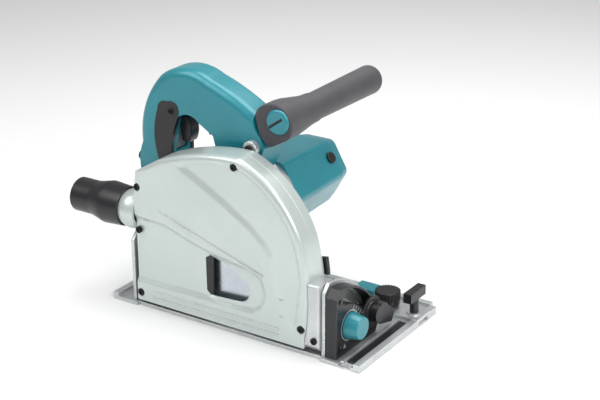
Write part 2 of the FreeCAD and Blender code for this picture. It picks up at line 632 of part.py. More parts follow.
# ---------------------------------------------------------------- spindle and blade
def wheel_outline(teeth, module, centre, phase, thin):
    """Spur wheel with stub involute teeth, thinned for backlash."""
    pressure = math.radians(20.0)
    pitch = teeth * module / 2
    base = pitch * math.cos(pressure)
    tip = pitch + 0.8 * module
    root = pitch - 1.05 * module
    half_tooth = (math.pi * module / 2 - thin) / (2 * pitch)
    roll_off = math.tan(pressure) - pressure
    points = []
    start = max(base, root)
    for k in range(int(teeth)):
        middle = math.radians(phase) + 2 * math.pi * k / teeth
        flank = []
        for radius in (start, (start + pitch) / 2, pitch, (pitch + tip) / 2, tip):
            turn = math.acos(min(1.0, base / radius))
            flank.append((radius, half_tooth + roll_off - (math.tan(turn) - turn)))
        if root < base:
            flank.insert(0, (root, flank[0][1]))
        for radius, angle in flank:
            points.append((radius, middle - angle))
        for radius, angle in reversed(flank):
            points.append((radius, middle + angle))
    return [(centre[0] + r * math.cos(a), centre[1] + r * math.sin(a)) for r, a in points]


def blade_outline():
    """Saw blade: raked carbide teeth around a disc."""
    count = int(S.blade_teeth)
    gullet = S.blade_radius - 7.0
    pitch = 2 * math.pi / count
    points = []
    for k in range(count):
        at = k * pitch
        for radius, share in ((S.blade_radius, 0.0), (S.blade_radius - 1.0, 0.28),
                              (gullet + 2.0, 0.62), (gullet, 0.82), (gullet + 2.5, 0.95)):
            angle = -(at + share * pitch)
            points.append((S.blade_x + radius * math.cos(angle), S.blade_z + radius * math.sin(angle)))
    return points


def make_spindle():
    """Spindle, driven wheel, flanges, bolt and blade."""
    back = f"{Y_BLADE} + blade_thick / 2"
    front = f"{Y_BLADE} - blade_thick / 2"
    disc = prism("blade_disc", "xz", blade_outline(), front, back)
    bore = rod("blade_bore", "y", "bore_radius", f"{front} - 1", f"{back} + 1", SPINDLE)
    node("saw_blade", cut("blade", disc, bore))
    flange = rod("inner_disc", "y", "flange_radius", back, f"{back} + 4.3", SPINDLE)
    spigot = rod("inner_spigot", "y", "bore_radius", front, back, SPINDLE)
    seat = rod("inner_seat", "y", "spindle_radius", f"{front} - 1", f"{back} + 6", SPINDLE)
    node("inner_flange", cut("flange_in", fuse("flange_both", flange, spigot), seat))
    outer = rod("outer_disc", "y", "flange_radius", f"{front} - 3.5", front, SPINDLE)
    hole = rod("outer_hole", "y", "4", f"{front} - 5", f"{back} + 2", SPINDLE)
    node("outer_flange", cut("flange_out", outer, hole))
    shaft = rod("shaft", "y", "spindle_radius", front, f"{Y_LOBE} + 9.5", SPINDLE)
    tapped = rod("shaft_tap", "y", "4", f"{front} - 1", f"{front} + 18", SPINDLE)
    node("spindle", cut("spindle_shaft", shaft, tapped))
    head = rod("bolt_head", "y", "7", f"{front} - 6.2", f"{front} - 3.5", SPINDLE)
    stud = rod("bolt_stud", "y", "4", f"{front} - 3.5", f"{front} + 18", SPINDLE)
    socket = rod("bolt_socket", "y", "2.9", f"{front} - 7", f"{front} - 4.2", SPINDLE)
    node("blade_bolt", cut("bolt", fuse("bolt_whole", head, stud), socket))
    low = f"{Y_GEAR} + housing_wall + 1"
    outline = wheel_outline(S.gear_teeth, S.gear_module, (S.blade_x, S.blade_z),
                            mesh_angle, S.backlash / 2)
    wheel = prism("gear_disc", "xz", outline, low, f"{low} + gear_width - 1")
    gear_bore = rod("gear_bore", "y", "spindle_radius", f"{low} - 1", f"{low} + gear_width", SPINDLE)
    node("drive_gear", cut("gear", wheel, gear_bore))


mesh_angle = math.degrees(math.atan2(motor_z - S.blade_z, motor_x - S.blade_x))


def make_armature():
    """Armature with pinion, fan and commutator."""
    low = f"{Y_GEAR} + housing_wall + 1"
    phase = mesh_angle + 180.0 + 180.0 / S.pinion_teeth
    outline = wheel_outline(S.pinion_teeth, S.gear_module, (motor_x, motor_z), phase, S.backlash / 2)
    pinion = prism("pinion", "xz", outline, low, f"{low} + gear_width")
    shaft = rod("armature_rod", "y", "shaft_radius", low, f"{Y_END} - 5", MOTOR)
    node("armature_shaft", fuse("armature_shaft_whole", pinion, shaft))
    core_low, core_high = f"{Y_MOTOR} + 12", f"{Y_MOTOR} + 58"
    core = rod("core_disc", "y", "armature_radius", core_low, core_high, MOTOR)
    bore = rod("core_bore", "y", "shaft_radius", f"{core_low} - 1", f"{core_high} + 1", MOTOR)
    node("armature_core", cut("core", core, bore))
    ring = rod("commutator_disc", "y", "commutator_radius", f"{Y_BRUSH} - commutator_half",
               f"{Y_BRUSH} + commutator_half", MOTOR)
    ring_bore = rod("commutator_bore", "y", "shaft_radius", f"{Y_BRUSH} - commutator_half - 1",
                    f"{Y_BRUSH} + commutator_half + 1", MOTOR)
    node("commutator", cut("commutator_ring", ring, ring_bore))
    plate = rod("fan_plate", "y", "stator_radius", f"{Y_MOTOR} - 10", f"{Y_MOTOR} - 8", MOTOR)
    hub = rod("fan_hub", "y", "shaft_radius + 5", f"{Y_MOTOR} - 10", f"{Y_MOTOR} + 1", MOTOR)
    blades = []
    for k in range(FAN_BLADES):
        vane = doc.addObject("Part::Box", f"fan_vane_{k}")
        bind(vane, "Length", "stator_radius - shaft_radius - 4")
        bind(vane, "Width", 9.0)
        bind(vane, "Height", 1.2)
        turn = FreeCAD.Rotation(FreeCAD.Vector(0, 1, 0), 360.0 / FAN_BLADES * k)
        offset = turn.multVec(FreeCAD.Vector(S.shaft_radius + 3.5, 0, -0.6))
        vane.Placement = FreeCAD.Placement(
            FreeCAD.Vector(motor_x, y_motor - 9.0, motor_z) + offset, turn)
        blades.append(vane)
    fan_bore = rod("fan_bore", "y", "shaft_radius", f"{Y_MOTOR} - 11", f"{Y_MOTOR} + 2", MOTOR)
    node("cooling_fan", cut("fan", fuse("fan_whole", plate, hub, *blades), fan_bore))


# ---------------------------------------------------------------- housings
def hexagon(radius):
    """Six-cornered section of the motor housing with round corners, one forward."""
    cut_back = S.corner_round * math.tan(math.radians(30.0))
    middle = radius - S.corner_round * (1.0 / math.cos(math.radians(30.0)) - 1.0)
    points = []
    for k in range(6):
        for along_edge, reach, mark in ((-120.0, radius, ()), (0.0, middle, ("via",)),
                                        (120.0, radius, ())):
            at = math.radians(60.0 * k)
            way = math.radians(60.0 * k + along_edge)
            step = 0.0 if mark else cut_back
            points.append((motor_x + reach * math.cos(at) + step * math.cos(way),
                           motor_z + reach * math.sin(at) + step * math.sin(way), *mark))
    return points


def lofted(name, low_y, high_y, low_radius, high_radius):
    """Tapered six-sided housing between two sections."""
    body = doc.addObject("PartDesign::Body", name)
    sketches = []
    for place, radius in ((low_y, low_radius), (high_y, high_radius)):
        sketch = sketch_on(body, "xz", f"-({place})")
        trace(sketch, hexagon(radius))
        sketches.append(sketch)
    loft = body.newObject("PartDesign::AdditiveLoft", name + "_loft")
    loft.Profile = sketches[0]
    loft.Sections = [sketches[1]]
    loft.Ruled = True
    body.Tip = loft
    return body


def make_housings():
    """Gear housing with plunge arm, bearing plate, motor housing and end cover."""
    lobe_radius = S.gear_module * (S.gear_teeth / 2 + 0.8) + S.gear_clear
    lobe = rod("lobe", "y", lobe_radius + S.gear_lobe_wall, Y_GEAR, Y_LOBE, SPINDLE)
    boss = rod("boss", "y", "spindle_radius + 7", Y_LOBE, Y_BOSS, SPINDLE)
    drum = rod("drum", "y", "gearcase_radius", Y_GEAR, Y_MOTOR, MOTOR)
    nose = rod("nose", "y", "nose_radius", f"{Y_GEAR} - 11.5", Y_GEAR, SPINDLE)
    hub = rod("arm_hub", "y", "pin_radius + 7", Y_GEAR, f"{Y_GEAR} + 10", PIVOT)
    lean = math.radians(rest_angle)
    across = (-math.sin(lean), math.cos(lean))
    arm = []
    for x, z, side in ((S.pivot_x, S.pivot_z, -1), (S.blade_x, S.blade_z, -1),
                       (S.blade_x, S.blade_z, 1), (S.pivot_x, S.pivot_z, 1)):
        arm.append((x + side * 11.0 * across[0], z + side * 11.0 * across[1]))
    link = prism("arm_link", "xz", arm, Y_GEAR, f"{Y_GEAR} + 9")
    whole = fuse("gear_whole", lobe, boss, drum, nose, hub, link)
    lobe_hollow = rod("lobe_hollow", "y", lobe_radius, f"{Y_GEAR} + housing_wall",
                      f"{Y_LOBE} - gear_lobe_wall", SPINDLE)
    drum_hollow = rod("drum_hollow", "y", "gearcase_radius - housing_wall",
                      f"{Y_GEAR} + housing_wall", f"{Y_MOTOR} + 1", MOTOR)
    bearing_seat = rod("nose_seat", "y", "spindle_radius + 5", f"{Y_GEAR} - 10.5",
                       f"{Y_GEAR} + housing_wall + 0.5", SPINDLE)
    nose_bore = rod("nose_bore", "y", "spindle_radius + 1", f"{Y_GEAR} - 13", f"{Y_GEAR}", SPINDLE)
    tail_seat = rod("tail_seat", "y", "spindle_radius + 4", f"{Y_LOBE} - gear_lobe_wall - 1",
                    f"{Y_BOSS} - 2", SPINDLE)
    pin_bore = rod("pin_bore", "y", "pin_radius + running_clear", f"{Y_GEAR} - 1", f"{Y_GEAR} + 12", PIVOT)
    lock_bore = rod("lock_bore", "x", "2.6", repr(motor_x + S.gearcase_radius - 8), "90",
                    (f"{Y_LOBE} + 12", repr(motor_z)))
    node("gear_housing", cut("gear_case", whole, lobe_hollow, drum_hollow, bearing_seat, nose_bore,
                             tail_seat, pin_bore, lock_bore))
    plate_low, plate_high = f"{Y_LOBE} + 2", f"{Y_LOBE} + 6"
    plate = rod("plate_disc", "y", "gearcase_radius - housing_wall", plate_low, plate_high, MOTOR)
    clear = rod("plate_boss_clear", "y", "spindle_radius + 7.05", f"{plate_low} - 1",
                f"{plate_high} + 1", SPINDLE)
    seat = rod("plate_seat", "y", "shaft_radius + 5", f"{plate_low} - 1", f"{plate_high} + 1", MOTOR)
    node("bearing_plate", cut("plate_ring", plate, clear, seat))
    body = lofted("motor_hex", Y_MOTOR, Y_CAP, S.motor_root, S.motor_tip)
    inside = rod("motor_hollow", "y", "stator_radius + 0.5", f"{Y_MOTOR} - 1", f"{Y_CAP} + 1", MOTOR)
    openings = []
    for k, turn in enumerate((S.brush_angle, S.brush_angle + 180.0)):
        tool = doc.addObject("Part::Cylinder", f"brush_port_{k}")
        bind(tool, "Radius", 6.0)
        bind(tool, "Height", 60.0)
        tool.Placement = brush_placement(turn, 0.0)
        openings.append(tool)
    node("motor_housing", cut("motor_shell", body, inside, *openings))
    cap = lofted("cap_hex", Y_CAP, Y_END, S.motor_tip, S.motor_tip - 3.0)
    cap_hollow = rod("cap_hollow", "y", "stator_radius", f"{Y_CAP} - 1", f"{Y_END} - 3", MOTOR)
    slots = []
    for k in range(5):
        z = motor_z - 16.0 + 8.0 * k
        slots.append(box(f"vent_{k}", (repr(motor_x - 18), repr(motor_x + 18)),
                         (f"{Y_END} - 4", f"{Y_END} + 1"), (repr(z - 1.5), repr(z + 1.5))))
    node("motor_end_cover", cut("motor_cap", cap, cap_hollow, *slots))
    ring = rod("stator_disc", "y", "stator_radius", f"{Y_MOTOR} + 10", f"{Y_MOTOR} + 58", MOTOR)
    bore = rod("stator_bore", "y", "armature_radius + free_clear", f"{Y_MOTOR} + 9",
               f"{Y_MOTOR} + 59", MOTOR)
    node("stator", cut("stator_ring", ring, bore))


def brush_placement(angle, distance):
    """Place on a brush's line, its length running outwards from the motor's axis."""
    lean = math.radians(angle)
    way = FreeCAD.Vector(math.cos(lean), 0, math.sin(lean))
    turn = FreeCAD.Rotation(FreeCAD.Vector(0, 0, 1), way)
    return FreeCAD.Placement(FreeCAD.Vector(motor_x, y_brush, motor_z) + way * distance, turn)


def make_motor_details():
    """Bearings, brushes and brush caps."""
    caps, brushes = [], []
    for k, angle in enumerate((S.brush_angle, S.brush_angle + 180.0)):
        cap = doc.addObject("Part::Cylinder", f"brush_cap_{k}")
        bind(cap, "Radius", 5.9)
        bind(cap, "Height", 5.0)
        cap.Placement = brush_placement(angle, S.motor_tip * 0.9 - 3.0)
        caps.append(cap)
        brush = doc.addObject("Part::Cylinder", f"brush_{k}")
        bind(brush, "Radius", 3.0)
        bind(brush, "Height", "stator_radius - commutator_radius")
        brush.Placement = brush_placement(angle, S.commutator_radius + 0.1)
        brushes.append(brush)
    node("brush_caps", group("brush_cap_pair", *caps))
    node("carbon_brushes", group("brush_pair", *brushes))
    bearings = []
    for name, outer, inner, low, high, centre in (
            ("nose", "spindle_radius + 5", "spindle_radius", f"{Y_GEAR} - 10.5", f"{Y_GEAR} - 1", SPINDLE),
            ("tail", "spindle_radius + 4", "spindle_radius", f"{Y_LOBE} + 0.5", f"{Y_LOBE} + 9", SPINDLE),
            ("pinion", "shaft_radius + 5", "shaft_radius", f"{Y_LOBE} + 1", f"{Y_LOBE} + 7", MOTOR),
            ("end", "shaft_radius + 6", "shaft_radius", f"{Y_END} - 9", f"{Y_END} - 3", MOTOR)):
        ring = rod("race_" + name, "y", outer, low, high, centre)
        bore = rod("race_bore_" + name, "y", f"{inner} + running_clear", f"{low} - 1", f"{high} + 1", centre)
        bearings.append(cut("bearing_" + name, ring, bore))
    node("spindle_bearings", group("spindle_bearing_pair", *bearings[:2]))
    node("armature_bearings", group("armature_bearing_pair", *bearings[2:]))


# ---------------------------------------------------------------- handle
def handle_outline():
    """Side view of the D-handle from its heel over the top to the collar."""
    top = S.handle_top
    return [(-124.0, top - 141.0), (-136.0, top - 122.0, "via"), (-137.5, top - 95.0),
            (-132.0, top - 42.0, "via"), (-112.0, top - 12.0), (-84.0, top, "via"),
            (-52.0, top - 6.0), (-24.0, top - 17.0, "via"), (2.0, top - 31.0),
            (16.0, top - 64.0), (6.0, top - 92.0), (-50.0, top - 116.0), (-62.0, top - 141.0)]


def loop_outline():
    """Finger opening of the handle."""
    top = S.handle_top
    return [(-97.0, top - 110.0), (-98.0, top - 85.0), (-92.0, top - 56.0), (-78.0, top - 46.0, "via"),
            (-62.0, top - 52.0), (-45.0, top - 62.0), (-40.0, top - 80.0), (-48.0, top - 106.0),
            (-72.0, top - 116.0, "via")]


def pad_outline():
    """Soft palm inlay on each side of the rear leg."""
    top = S.handle_top
    return [(-110.0, top - 108.0), (-118.0, top - 75.0, "via"), (-113.0, top - 46.0),
            (-104.0, top - 36.0, "via"), (-94.0, top - 44.0), (-98.5, top - 66.0),
            (-101.0, top - 108.0)]


def make_handle():
    """Handle halves, palm pads, collar, front grip, screw cap and lug."""
    envelope = rod("drum_envelope", "y", "gearcase_radius + 0.02", f"{Y_GEAR} - 1", f"{Y_MOTOR} + 1", MOTOR)
    collar_space = rod("collar_envelope", "y", "collar_radius", f"{Y_HANDLE} - 10", f"{Y_MOTOR} + 10",
                       ("grip_x - 6", "grip_z"))
    for side, low, high in (("right", Y_HANDLE, Y_HALF), ("left", Y_HALF, Y_MOTOR)):
        outer_face = (y_handle if side == "right" else y_motor)
        block = prism("handle_block_" + side, "xz", handle_outline(), low, high)
        rounded = soften("handle_round_" + side, block, "handle_round",
                         lambda e, face=outer_face: abs(e.BoundBox.YMax - face) < 0.01
                         and abs(e.BoundBox.YMin - face) < 0.01 and e.BoundBox.ZMax > S.handle_top - 100.0
                         and e.BoundBox.XMin < -20.0 and e.BoundBox.ZMin > S.handle_top - 128)
        loop = prism("loop_" + side, "xz", loop_outline(), f"{low} - 1", f"{high} + 1")
        if side == "right":
            pad_low, pad_high = f"{low} - pad_proud", f"{low} + pad_depth"
        else:
            pad_low, pad_high = f"{high} - pad_depth", f"{high} + pad_proud"
        pad = prism("pad_" + side, "xz", pad_outline(), pad_low, pad_high)
        node("palm_pad_" + side, pad)
        pocket = prism("pad_pocket_" + side, "xz", pad_outline(), pad_low, pad_high)
        switch = box("switch_space_" + side, ("-118", "-96"), (f"{Y_HALF} - 9", f"{Y_HALF} + 9"),
                     (f"handle_top - 90", f"handle_top - 52"))
        trigger = box("trigger_space_" + side, ("-99", "-80"), (f"{Y_HALF} - 7.4", f"{Y_HALF} + 7.4"),
                      ("handle_top - 86", "handle_top - 44"))
        lock = box("lock_space_" + side, ("-52", "-32"), (f"{Y_HALF} - 6.4", f"{Y_HALF} + 6.4"),
                   ("handle_top - 76", "handle_top - 50"))
        gland = rod("gland_seat_" + side, "x", "gland_radius", "-160", "-131", (Y_HALF, "handle_top - 108"))
        node("handle_" + side, cut("handle_cut_" + side, rounded, loop, pocket, envelope,
                                   collar_space, switch, trigger, lock, gland))
    node("switch_body", box("switch", ("-117.5", "-99.5"), (f"{Y_HALF} - 8.5", f"{Y_HALF} + 8.5"),
                            ("handle_top - 89", "handle_top - 53")))
    head = rod("collar_head", "y", "collar_radius - 0.02", Y_HANDLE, Y_MOTOR, ("grip_x - 6", "grip_z"))
    grip_root = rod("grip_root", "y", "grip_radius + 0.6", f"{Y_MOTOR} - 3", "grip_seam_y",
                    ("grip_x", "grip_z"))
    node("grip_collar", fuse("collar", head, grip_root))
    sleeve = taper("grip_sleeve", "y", ("grip_radius", "grip_end_radius"), "grip_seam_y",
                   "grip_end_y", ("grip_x", "grip_z"))
    node("front_grip", soften("grip_round", sleeve, 9.0, lambda e: e.BoundBox.YMin > S.grip_end_y - 0.1
                              and e.Length > 30.0))
    disc = rod("disc_body", "y", "disc_radius", f"{Y_HANDLE} - disc_proud", Y_HANDLE,
               ("grip_x + 1", "grip_z + 2"))
    slot = box("disc_slot", ("grip_x - 15", "grip_x + 10"),
               (f"{Y_HANDLE} - disc_proud - 1", f"{Y_HANDLE} - 1"),
               ("grip_z + 0.3", "grip_z + 3.7"))
    node("grip_screw_cap", cut("disc", disc, slot))
    lug = rod("lug_body", "y", "8", f"{Y_GEAR} + 1", Y_HANDLE, ("4", "case_top - 1"))
    node("handle_lug", lug)
    node("lug_screw", rod("lug_screw_head", "y", "4.5", f"{Y_GEAR} - 1", f"{Y_GEAR} + 1",
                          ("4", "case_top - 1")))
    screws = []
    for i, (x, z) in enumerate(((-104.0, 45.0), (-60.0, 30.0), (-118.0, 125.0), (-56.0, 128.0))):
        screws.append(rod(f"handle_screw_{i}", "y", "3.2", f"{Y_MOTOR}", f"{Y_MOTOR} + 1.0",
                          (repr(x), f"handle_top - {z}")))
    node("handle_screws", group("handle_screw_set", *screws[1:]))
    gland = taper("gland", "x", ("5", "7"), "-152", "-138", (Y_HALF, "handle_top - 108"))
    root = rod("gland_root", "x", "gland_radius", "-138", "-131", (Y_HALF, "handle_top - 108"))
    hole = rod("gland_hole", "x", "3.6", "-153", "-137", (Y_HALF, "handle_top - 108"))
    node("cord_gland", cut("gland_cut", fuse("gland_whole", gland, root), hole))


def make_controls():
    """Trigger, lock-off lever, speed dial and spindle lock button."""
    top = S.handle_top
    blade = [(-95.0, top - 54.0), (-86.0, top - 52.0), (-80.5, top - 64.0, "via"),
             (-84.0, top - 80.0), (-92.0, top - 79.0)]
    node("trigger", prism("trigger_blade", "xz", blade, f"{Y_HALF} - 7", f"{Y_HALF} + 7"))
    lever = [(-60.0, top - 62.5), (-36.0, top - 58.0), (-34.5, top - 70.0), (-38.0, top - 72.0),
             (-40.0, top - 64.0), (-59.0, top - 67.0)]
    node("lock_off_lever", prism("lock_paddle", "xz", lever, f"{Y_HALF} - 6", f"{Y_HALF} + 6"))
    node("speed_dial", rod("dial", "y", "11", f"{Y_END} + free_clear", f"{Y_END} + 4.4",
                           (repr(motor_x), repr(motor_z + 19.0))))
    button = rod("lock_button", "x", "5", repr(motor_x + S.gearcase_radius + 2.5),
                 repr(motor_x + S.gearcase_radius + 6.5), (f"{Y_LOBE} + 12", repr(motor_z)))
    stem = rod("lock_stem", "x", "2.5", repr(motor_x + S.gearcase_radius - 2.9),
               repr(motor_x + S.gearcase_radius + 3), (f"{Y_LOBE} + 12", repr(motor_z)))
    node("spindle_lock_button", fuse("lock_pin", button, stem))


def write_parts():
    """Check every object and write each node's solids."""
    doc.recompute()
    bad = [item.Label for item in doc.Objects if {"Invalid", "Error"} & set(item.State)]
    if bad:
        raise RuntimeError("failed objects: " + ", ".join(bad))
    for shape in NODES:
        solid = shape.Shape
        if solid.isNull() or not solid.isValid() or not solid.Solids:
            raise RuntimeError("bad shape: " + shape.Label)
    os.makedirs("parts", exist_ok=True)
    for shape in NODES:
        shape.Shape.exportStep(os.path.join("parts", shape.Label + ".step"))
        print(f"{shape.Label}: {len(shape.Shape.Solids)} solid(s), {shape.Shape.Volume:.0f} mm3")


make_base()
make_quadrants()
make_base_fittings()
case_profile = make_case()
make_case_fittings(case_profile)
make_nozzle()
make_clamps()
make_depth_stop()
make_spindle()
make_armature()
make_housings()
make_motor_details()
make_handle()
make_controls()
write_parts()
print(len(NODES), "nodes")
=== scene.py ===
"""Looks of a track plunge saw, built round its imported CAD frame.

Every size is in metres in the frame's own axes: +X is the cutting direction, +Y the
machine's left and +Z up.  The sole stands on the floor at z = 0.
"""
from __future__ import annotations

import json
import logging
import math
from dataclasses import dataclass
from enum import Enum
from typing import Callable, Iterable, Sequence

import bmesh
import bpy
import numpy as np
from mathutils import Matrix, Vector
from mathutils.geometry import delaunay_2d_cdt


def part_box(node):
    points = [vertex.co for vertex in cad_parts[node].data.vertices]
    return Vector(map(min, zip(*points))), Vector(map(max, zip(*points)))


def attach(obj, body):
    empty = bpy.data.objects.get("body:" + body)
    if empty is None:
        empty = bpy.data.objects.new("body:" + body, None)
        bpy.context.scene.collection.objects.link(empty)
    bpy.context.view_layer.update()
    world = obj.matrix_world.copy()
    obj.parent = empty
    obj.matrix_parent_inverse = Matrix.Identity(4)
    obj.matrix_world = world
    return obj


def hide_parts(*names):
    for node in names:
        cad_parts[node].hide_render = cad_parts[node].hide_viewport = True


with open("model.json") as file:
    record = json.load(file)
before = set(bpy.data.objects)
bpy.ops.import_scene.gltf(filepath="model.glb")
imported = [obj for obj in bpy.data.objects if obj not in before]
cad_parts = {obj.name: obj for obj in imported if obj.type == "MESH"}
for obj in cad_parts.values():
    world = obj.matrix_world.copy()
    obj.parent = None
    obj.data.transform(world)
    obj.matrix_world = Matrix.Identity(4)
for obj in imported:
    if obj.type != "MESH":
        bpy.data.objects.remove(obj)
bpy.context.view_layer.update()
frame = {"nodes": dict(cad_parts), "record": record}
LOG = logging.getLogger("plunge_saw")
Colour = tuple[float, float, float]
Point = tuple[float, float]
# Face attribute of bevel faces, which carry edge wear and a painted edge highlight.
EDGE_MARK = "worn_edge"
WELD = 2e-6
SHARP = math.radians(28.0)
FLAT_CAD = math.radians(0.6)
FLAT_CUT = math.radians(0.4)
EDGE_STEPS = 2


class Surface(Enum):
    """Finishes of the machine, each by its name in the record."""

    CAST = "cast_aluminium"
    COVER = "painted_cover"
    TEAL = "teal_plastic"
    GRIP = "dark_grip"
    BLACK = "black_plastic"
    BRIGHT = "bright_steel"
    DARK = "dark_steel"
    BLADE = "blade_steel"
    COPPER = "copper"
    GREY = "grey_plastic"


class Side(Enum):
    """Plane that an outline is drawn on, by its two axes."""

    TOP = "xy"
    SIDE = "xz"
    FRONT = "yz"


# ------------------------------------------------------------------ shader trees
class Field:
    """One output of a shader tree, with arithmetic."""

    def __init__(self, tree: bpy.types.NodeTree, socket: bpy.types.NodeSocket) -> None:
        """Keep the tree and the socket."""
        self.tree = tree
        self.socket = socket

    def _math(self, operation: str, *terms: Field | float) -> Field:
        """Add one Math node.

        Args:
            operation: the node's operation.
            terms: its values or links.

        Returns:
            The node's result.
        """
        node = self.tree.nodes.new("ShaderNodeMath")
        node.operation = operation
        for slot, term in zip(node.inputs, terms):
            if isinstance(term, Field):
                self.tree.links.new(term.socket, slot)
            else:
                slot.default_value = float(term)
        return Field(self.tree, node.outputs[0])

    def __add__(self, other: Field | float) -> Field:
        """Sum."""
        return self._math("ADD", self, other)

    __radd__ = __add__

    def __mul__(self, other: Field | float) -> Field:
        """Product."""
        return self._math("MULTIPLY", self, other)

    def __sub__(self, other: Field | float) -> Field:
        """Difference."""
        return self._math("SUBTRACT", self, other)


class Shader:
    """A node material under construction."""

    def __init__(self, name: str) -> None:
        """Start a material with an empty tree and a Principled shader."""
        self.material = bpy.data.materials.new(name)
        self.material.use_nodes = True
        self.tree = self.material.node_tree
        self.tree.nodes.clear()
        output = self.tree.nodes.new("ShaderNodeOutputMaterial")
        self.surface = self.tree.nodes.new("ShaderNodeBsdfPrincipled")
        self.tree.links.new(self.surface.outputs[0], output.inputs["Surface"])
        self.place = self.node("ShaderNodeTexCoord", output="Object")

    def node(self, kind: str, settings: dict | None = None, inputs: dict | None = None,
             output: str | int = 0) -> Field:
        """Add any node.

        Args:
            kind: the node's type.
            settings: its properties, set first.
            inputs: values or links of its sockets, by name or place.
            output: which output to hand back.

        Returns:
            The chosen output.
        """
        node = self.tree.nodes.new(kind)
        for name, value in (settings or {}).items():
            setattr(node, name, value)
        for name, value in (inputs or {}).items():
            self.feed(node.inputs[name], value)
        return Field(self.tree, node.outputs[output])

    def feed(self, socket: bpy.types.NodeSocket, value: Field | float | Sequence[float]) -> None:
        """Link a field to a socket, or set the socket's own value."""
        if isinstance(value, Field):
            self.tree.links.new(value.socket, socket)
        elif isinstance(value, (int, float)):
            socket.default_value = value
        else:
            room = len(socket.default_value)
            socket.default_value = tuple(value) + (1.0,) * (room - len(value))

    def set(self, **values: Field | float | Sequence[float]) -> None:
        """Feed the Principled shader; a name's low lines stand for spaces."""
        for name, value in values.items():
            self.feed(self.surface.inputs[name.replace("_", " ")], value)

    def stretched(self, stretch: Sequence[float]) -> Field:
        """Object coordinates scaled along each axis."""
        return self.node("ShaderNodeMapping", {}, {"Vector": self.place, "Scale": stretch})

    def noise(self, scale: float, detail: float = 4.0, roughness: float = 0.55,
              stretch: Sequence[float] = (1.0, 1.0, 1.0)) -> Field:
        """Noise of about nought to one.

        Args:
            scale: cells in a metre.
            detail: octaves.
            roughness: weight of the fine octaves.
            stretch: scale along each axis.

        Returns:
            The noise value.
        """
        return self.node("ShaderNodeTexNoise", {}, {
            "Vector": self.stretched(stretch), "Scale": scale, "Detail": detail,
            "Roughness": roughness})

    def cells(self, scale: float) -> Field:
        """Distance to the nearest of many scattered points."""
        return self.node("ShaderNodeTexVoronoi", {"feature": "F1"},
                         {"Vector": self.place, "Scale": scale})

    def spread(self, value: Field, low: float, high: float, out_low: float = 0.0,
               out_high: float = 1.0) -> Field:
        """Map a range of a value to another, smoothly and held at its ends."""
        return self.node("ShaderNodeMapRange", {"interpolation_type": "SMOOTHSTEP"}, {
            "Value": value, "From Min": low, "From Max": high, "To Min": out_low,
            "To Max": out_high})

    def tint(self, factor: Field, first: Colour | Field, second: Colour | Field) -> Field:
        """Mix two colours by a factor."""
        node = self.tree.nodes.new("ShaderNodeMix")
        node.data_type = "RGBA"
        for place, value in ((0, factor), (6, first), (7, second)):
            self.feed(node.inputs[place], value)
        return Field(self.tree, node.outputs[2])

    def edge(self) -> Field:
        """One on the machine's rounded edges and nought on its broad faces."""
        return self.node("ShaderNodeAttribute", {"attribute_name": EDGE_MARK}, output="Fac")

    def bump(self, height: Field, depth: float, strength: float = 1.0) -> None:
        """Raise the surface by a height field of nought to one, over a depth in metres."""
        self.set(Normal=self.node("ShaderNodeBump", {}, {
            "Height": height, "Distance": depth, "Strength": strength}))


@dataclass(frozen=True)
class Finish:
    """A finish of two tones with grain, blotches and lighter rounded edges, part edge wear and part
    painted highlight.

    Colours are linear.  Scales are cells in a metre and depths are in metres.
    """

    colour: Colour
    shade: Colour
    worn: Colour
    metallic: float = 0.0
    roughness: float = 0.45
    patchiness: float = 0.12
    blotch: float = 22.0
    grain: float = 900.0
    grain_depth: float = 0.00006
    edge_wear_and_highlight: float = 0.5
    coat: float = 0.0
    sheen: float = 0.0

    def height(self, shader: Shader) -> Field:
        """Fine relief of the surface."""
        fine = shader.noise(self.grain, 3.0, 0.6)
        broad = shader.noise(self.grain * 0.22, 2.0)
        return fine * 0.7 + broad * 0.3

    def paint(self, name: str) -> bpy.types.Material:
        """Build the material.

        Args:
            name: the material's name.

        Returns:
            The finished material.
        """
        shader = Shader(name)
        blotches = shader.noise(self.blotch, 5.0, 0.6)
        specks = shader.noise(self.grain * 0.5, 2.0, 0.7)
        tone = shader.spread(blotches * 0.75 + specks * 0.25, 0.3, 0.7)
        # Lighter colour on the rounded edges, broken up by noise: partly edge wear, partly painted
        # highlight.
        edge_breakup = shader.spread(shader.noise(210.0, 4.0, 0.7), 0.42, 0.62)
        worn = shader.edge() * edge_breakup * self.edge_wear_and_highlight
        scuffs = shader.spread(shader.noise(55.0, 6.0, 0.7, (1.0, 1.0, 3.0)), 0.6, 0.8)
        base = shader.tint(tone, self.colour, self.shade)
        shader.set(Base_Color=shader.tint(worn, base, self.worn), Metallic=self.metallic,
                   Coat_Weight=self.coat, Coat_Roughness=0.18, Sheen_Weight=self.sheen)
        rough = self.roughness + (blotches - 0.5) * self.patchiness + scuffs * 0.08
        shader.set(Roughness=rough - worn * 0.12)
        shader.bump(self.height(shader), self.grain_depth)
        return shader.material


@dataclass(frozen=True)
class Stippled(Finish):
    """Moulded rubber or plastic with a pebbled skin."""

    pebble: float = 950.0

    def height(self, shader: Shader) -> Field:
        """Pebbles with fine grain between them."""
        pebbles = shader.spread(shader.cells(self.pebble), 0.05, 0.6)
        return pebbles * 0.75 + shader.noise(self.grain, 2.0) * 0.25


@dataclass(frozen=True)
class Brushed(Finish):
    """Metal with fine lines along one axis."""

    lines: tuple[float, float, float] = (1.0, 14.0, 14.0)

    def height(self, shader: Shader) -> Field:
        """Long fine scratches."""
        return shader.noise(self.grain, 3.0, 0.7, self.lines)
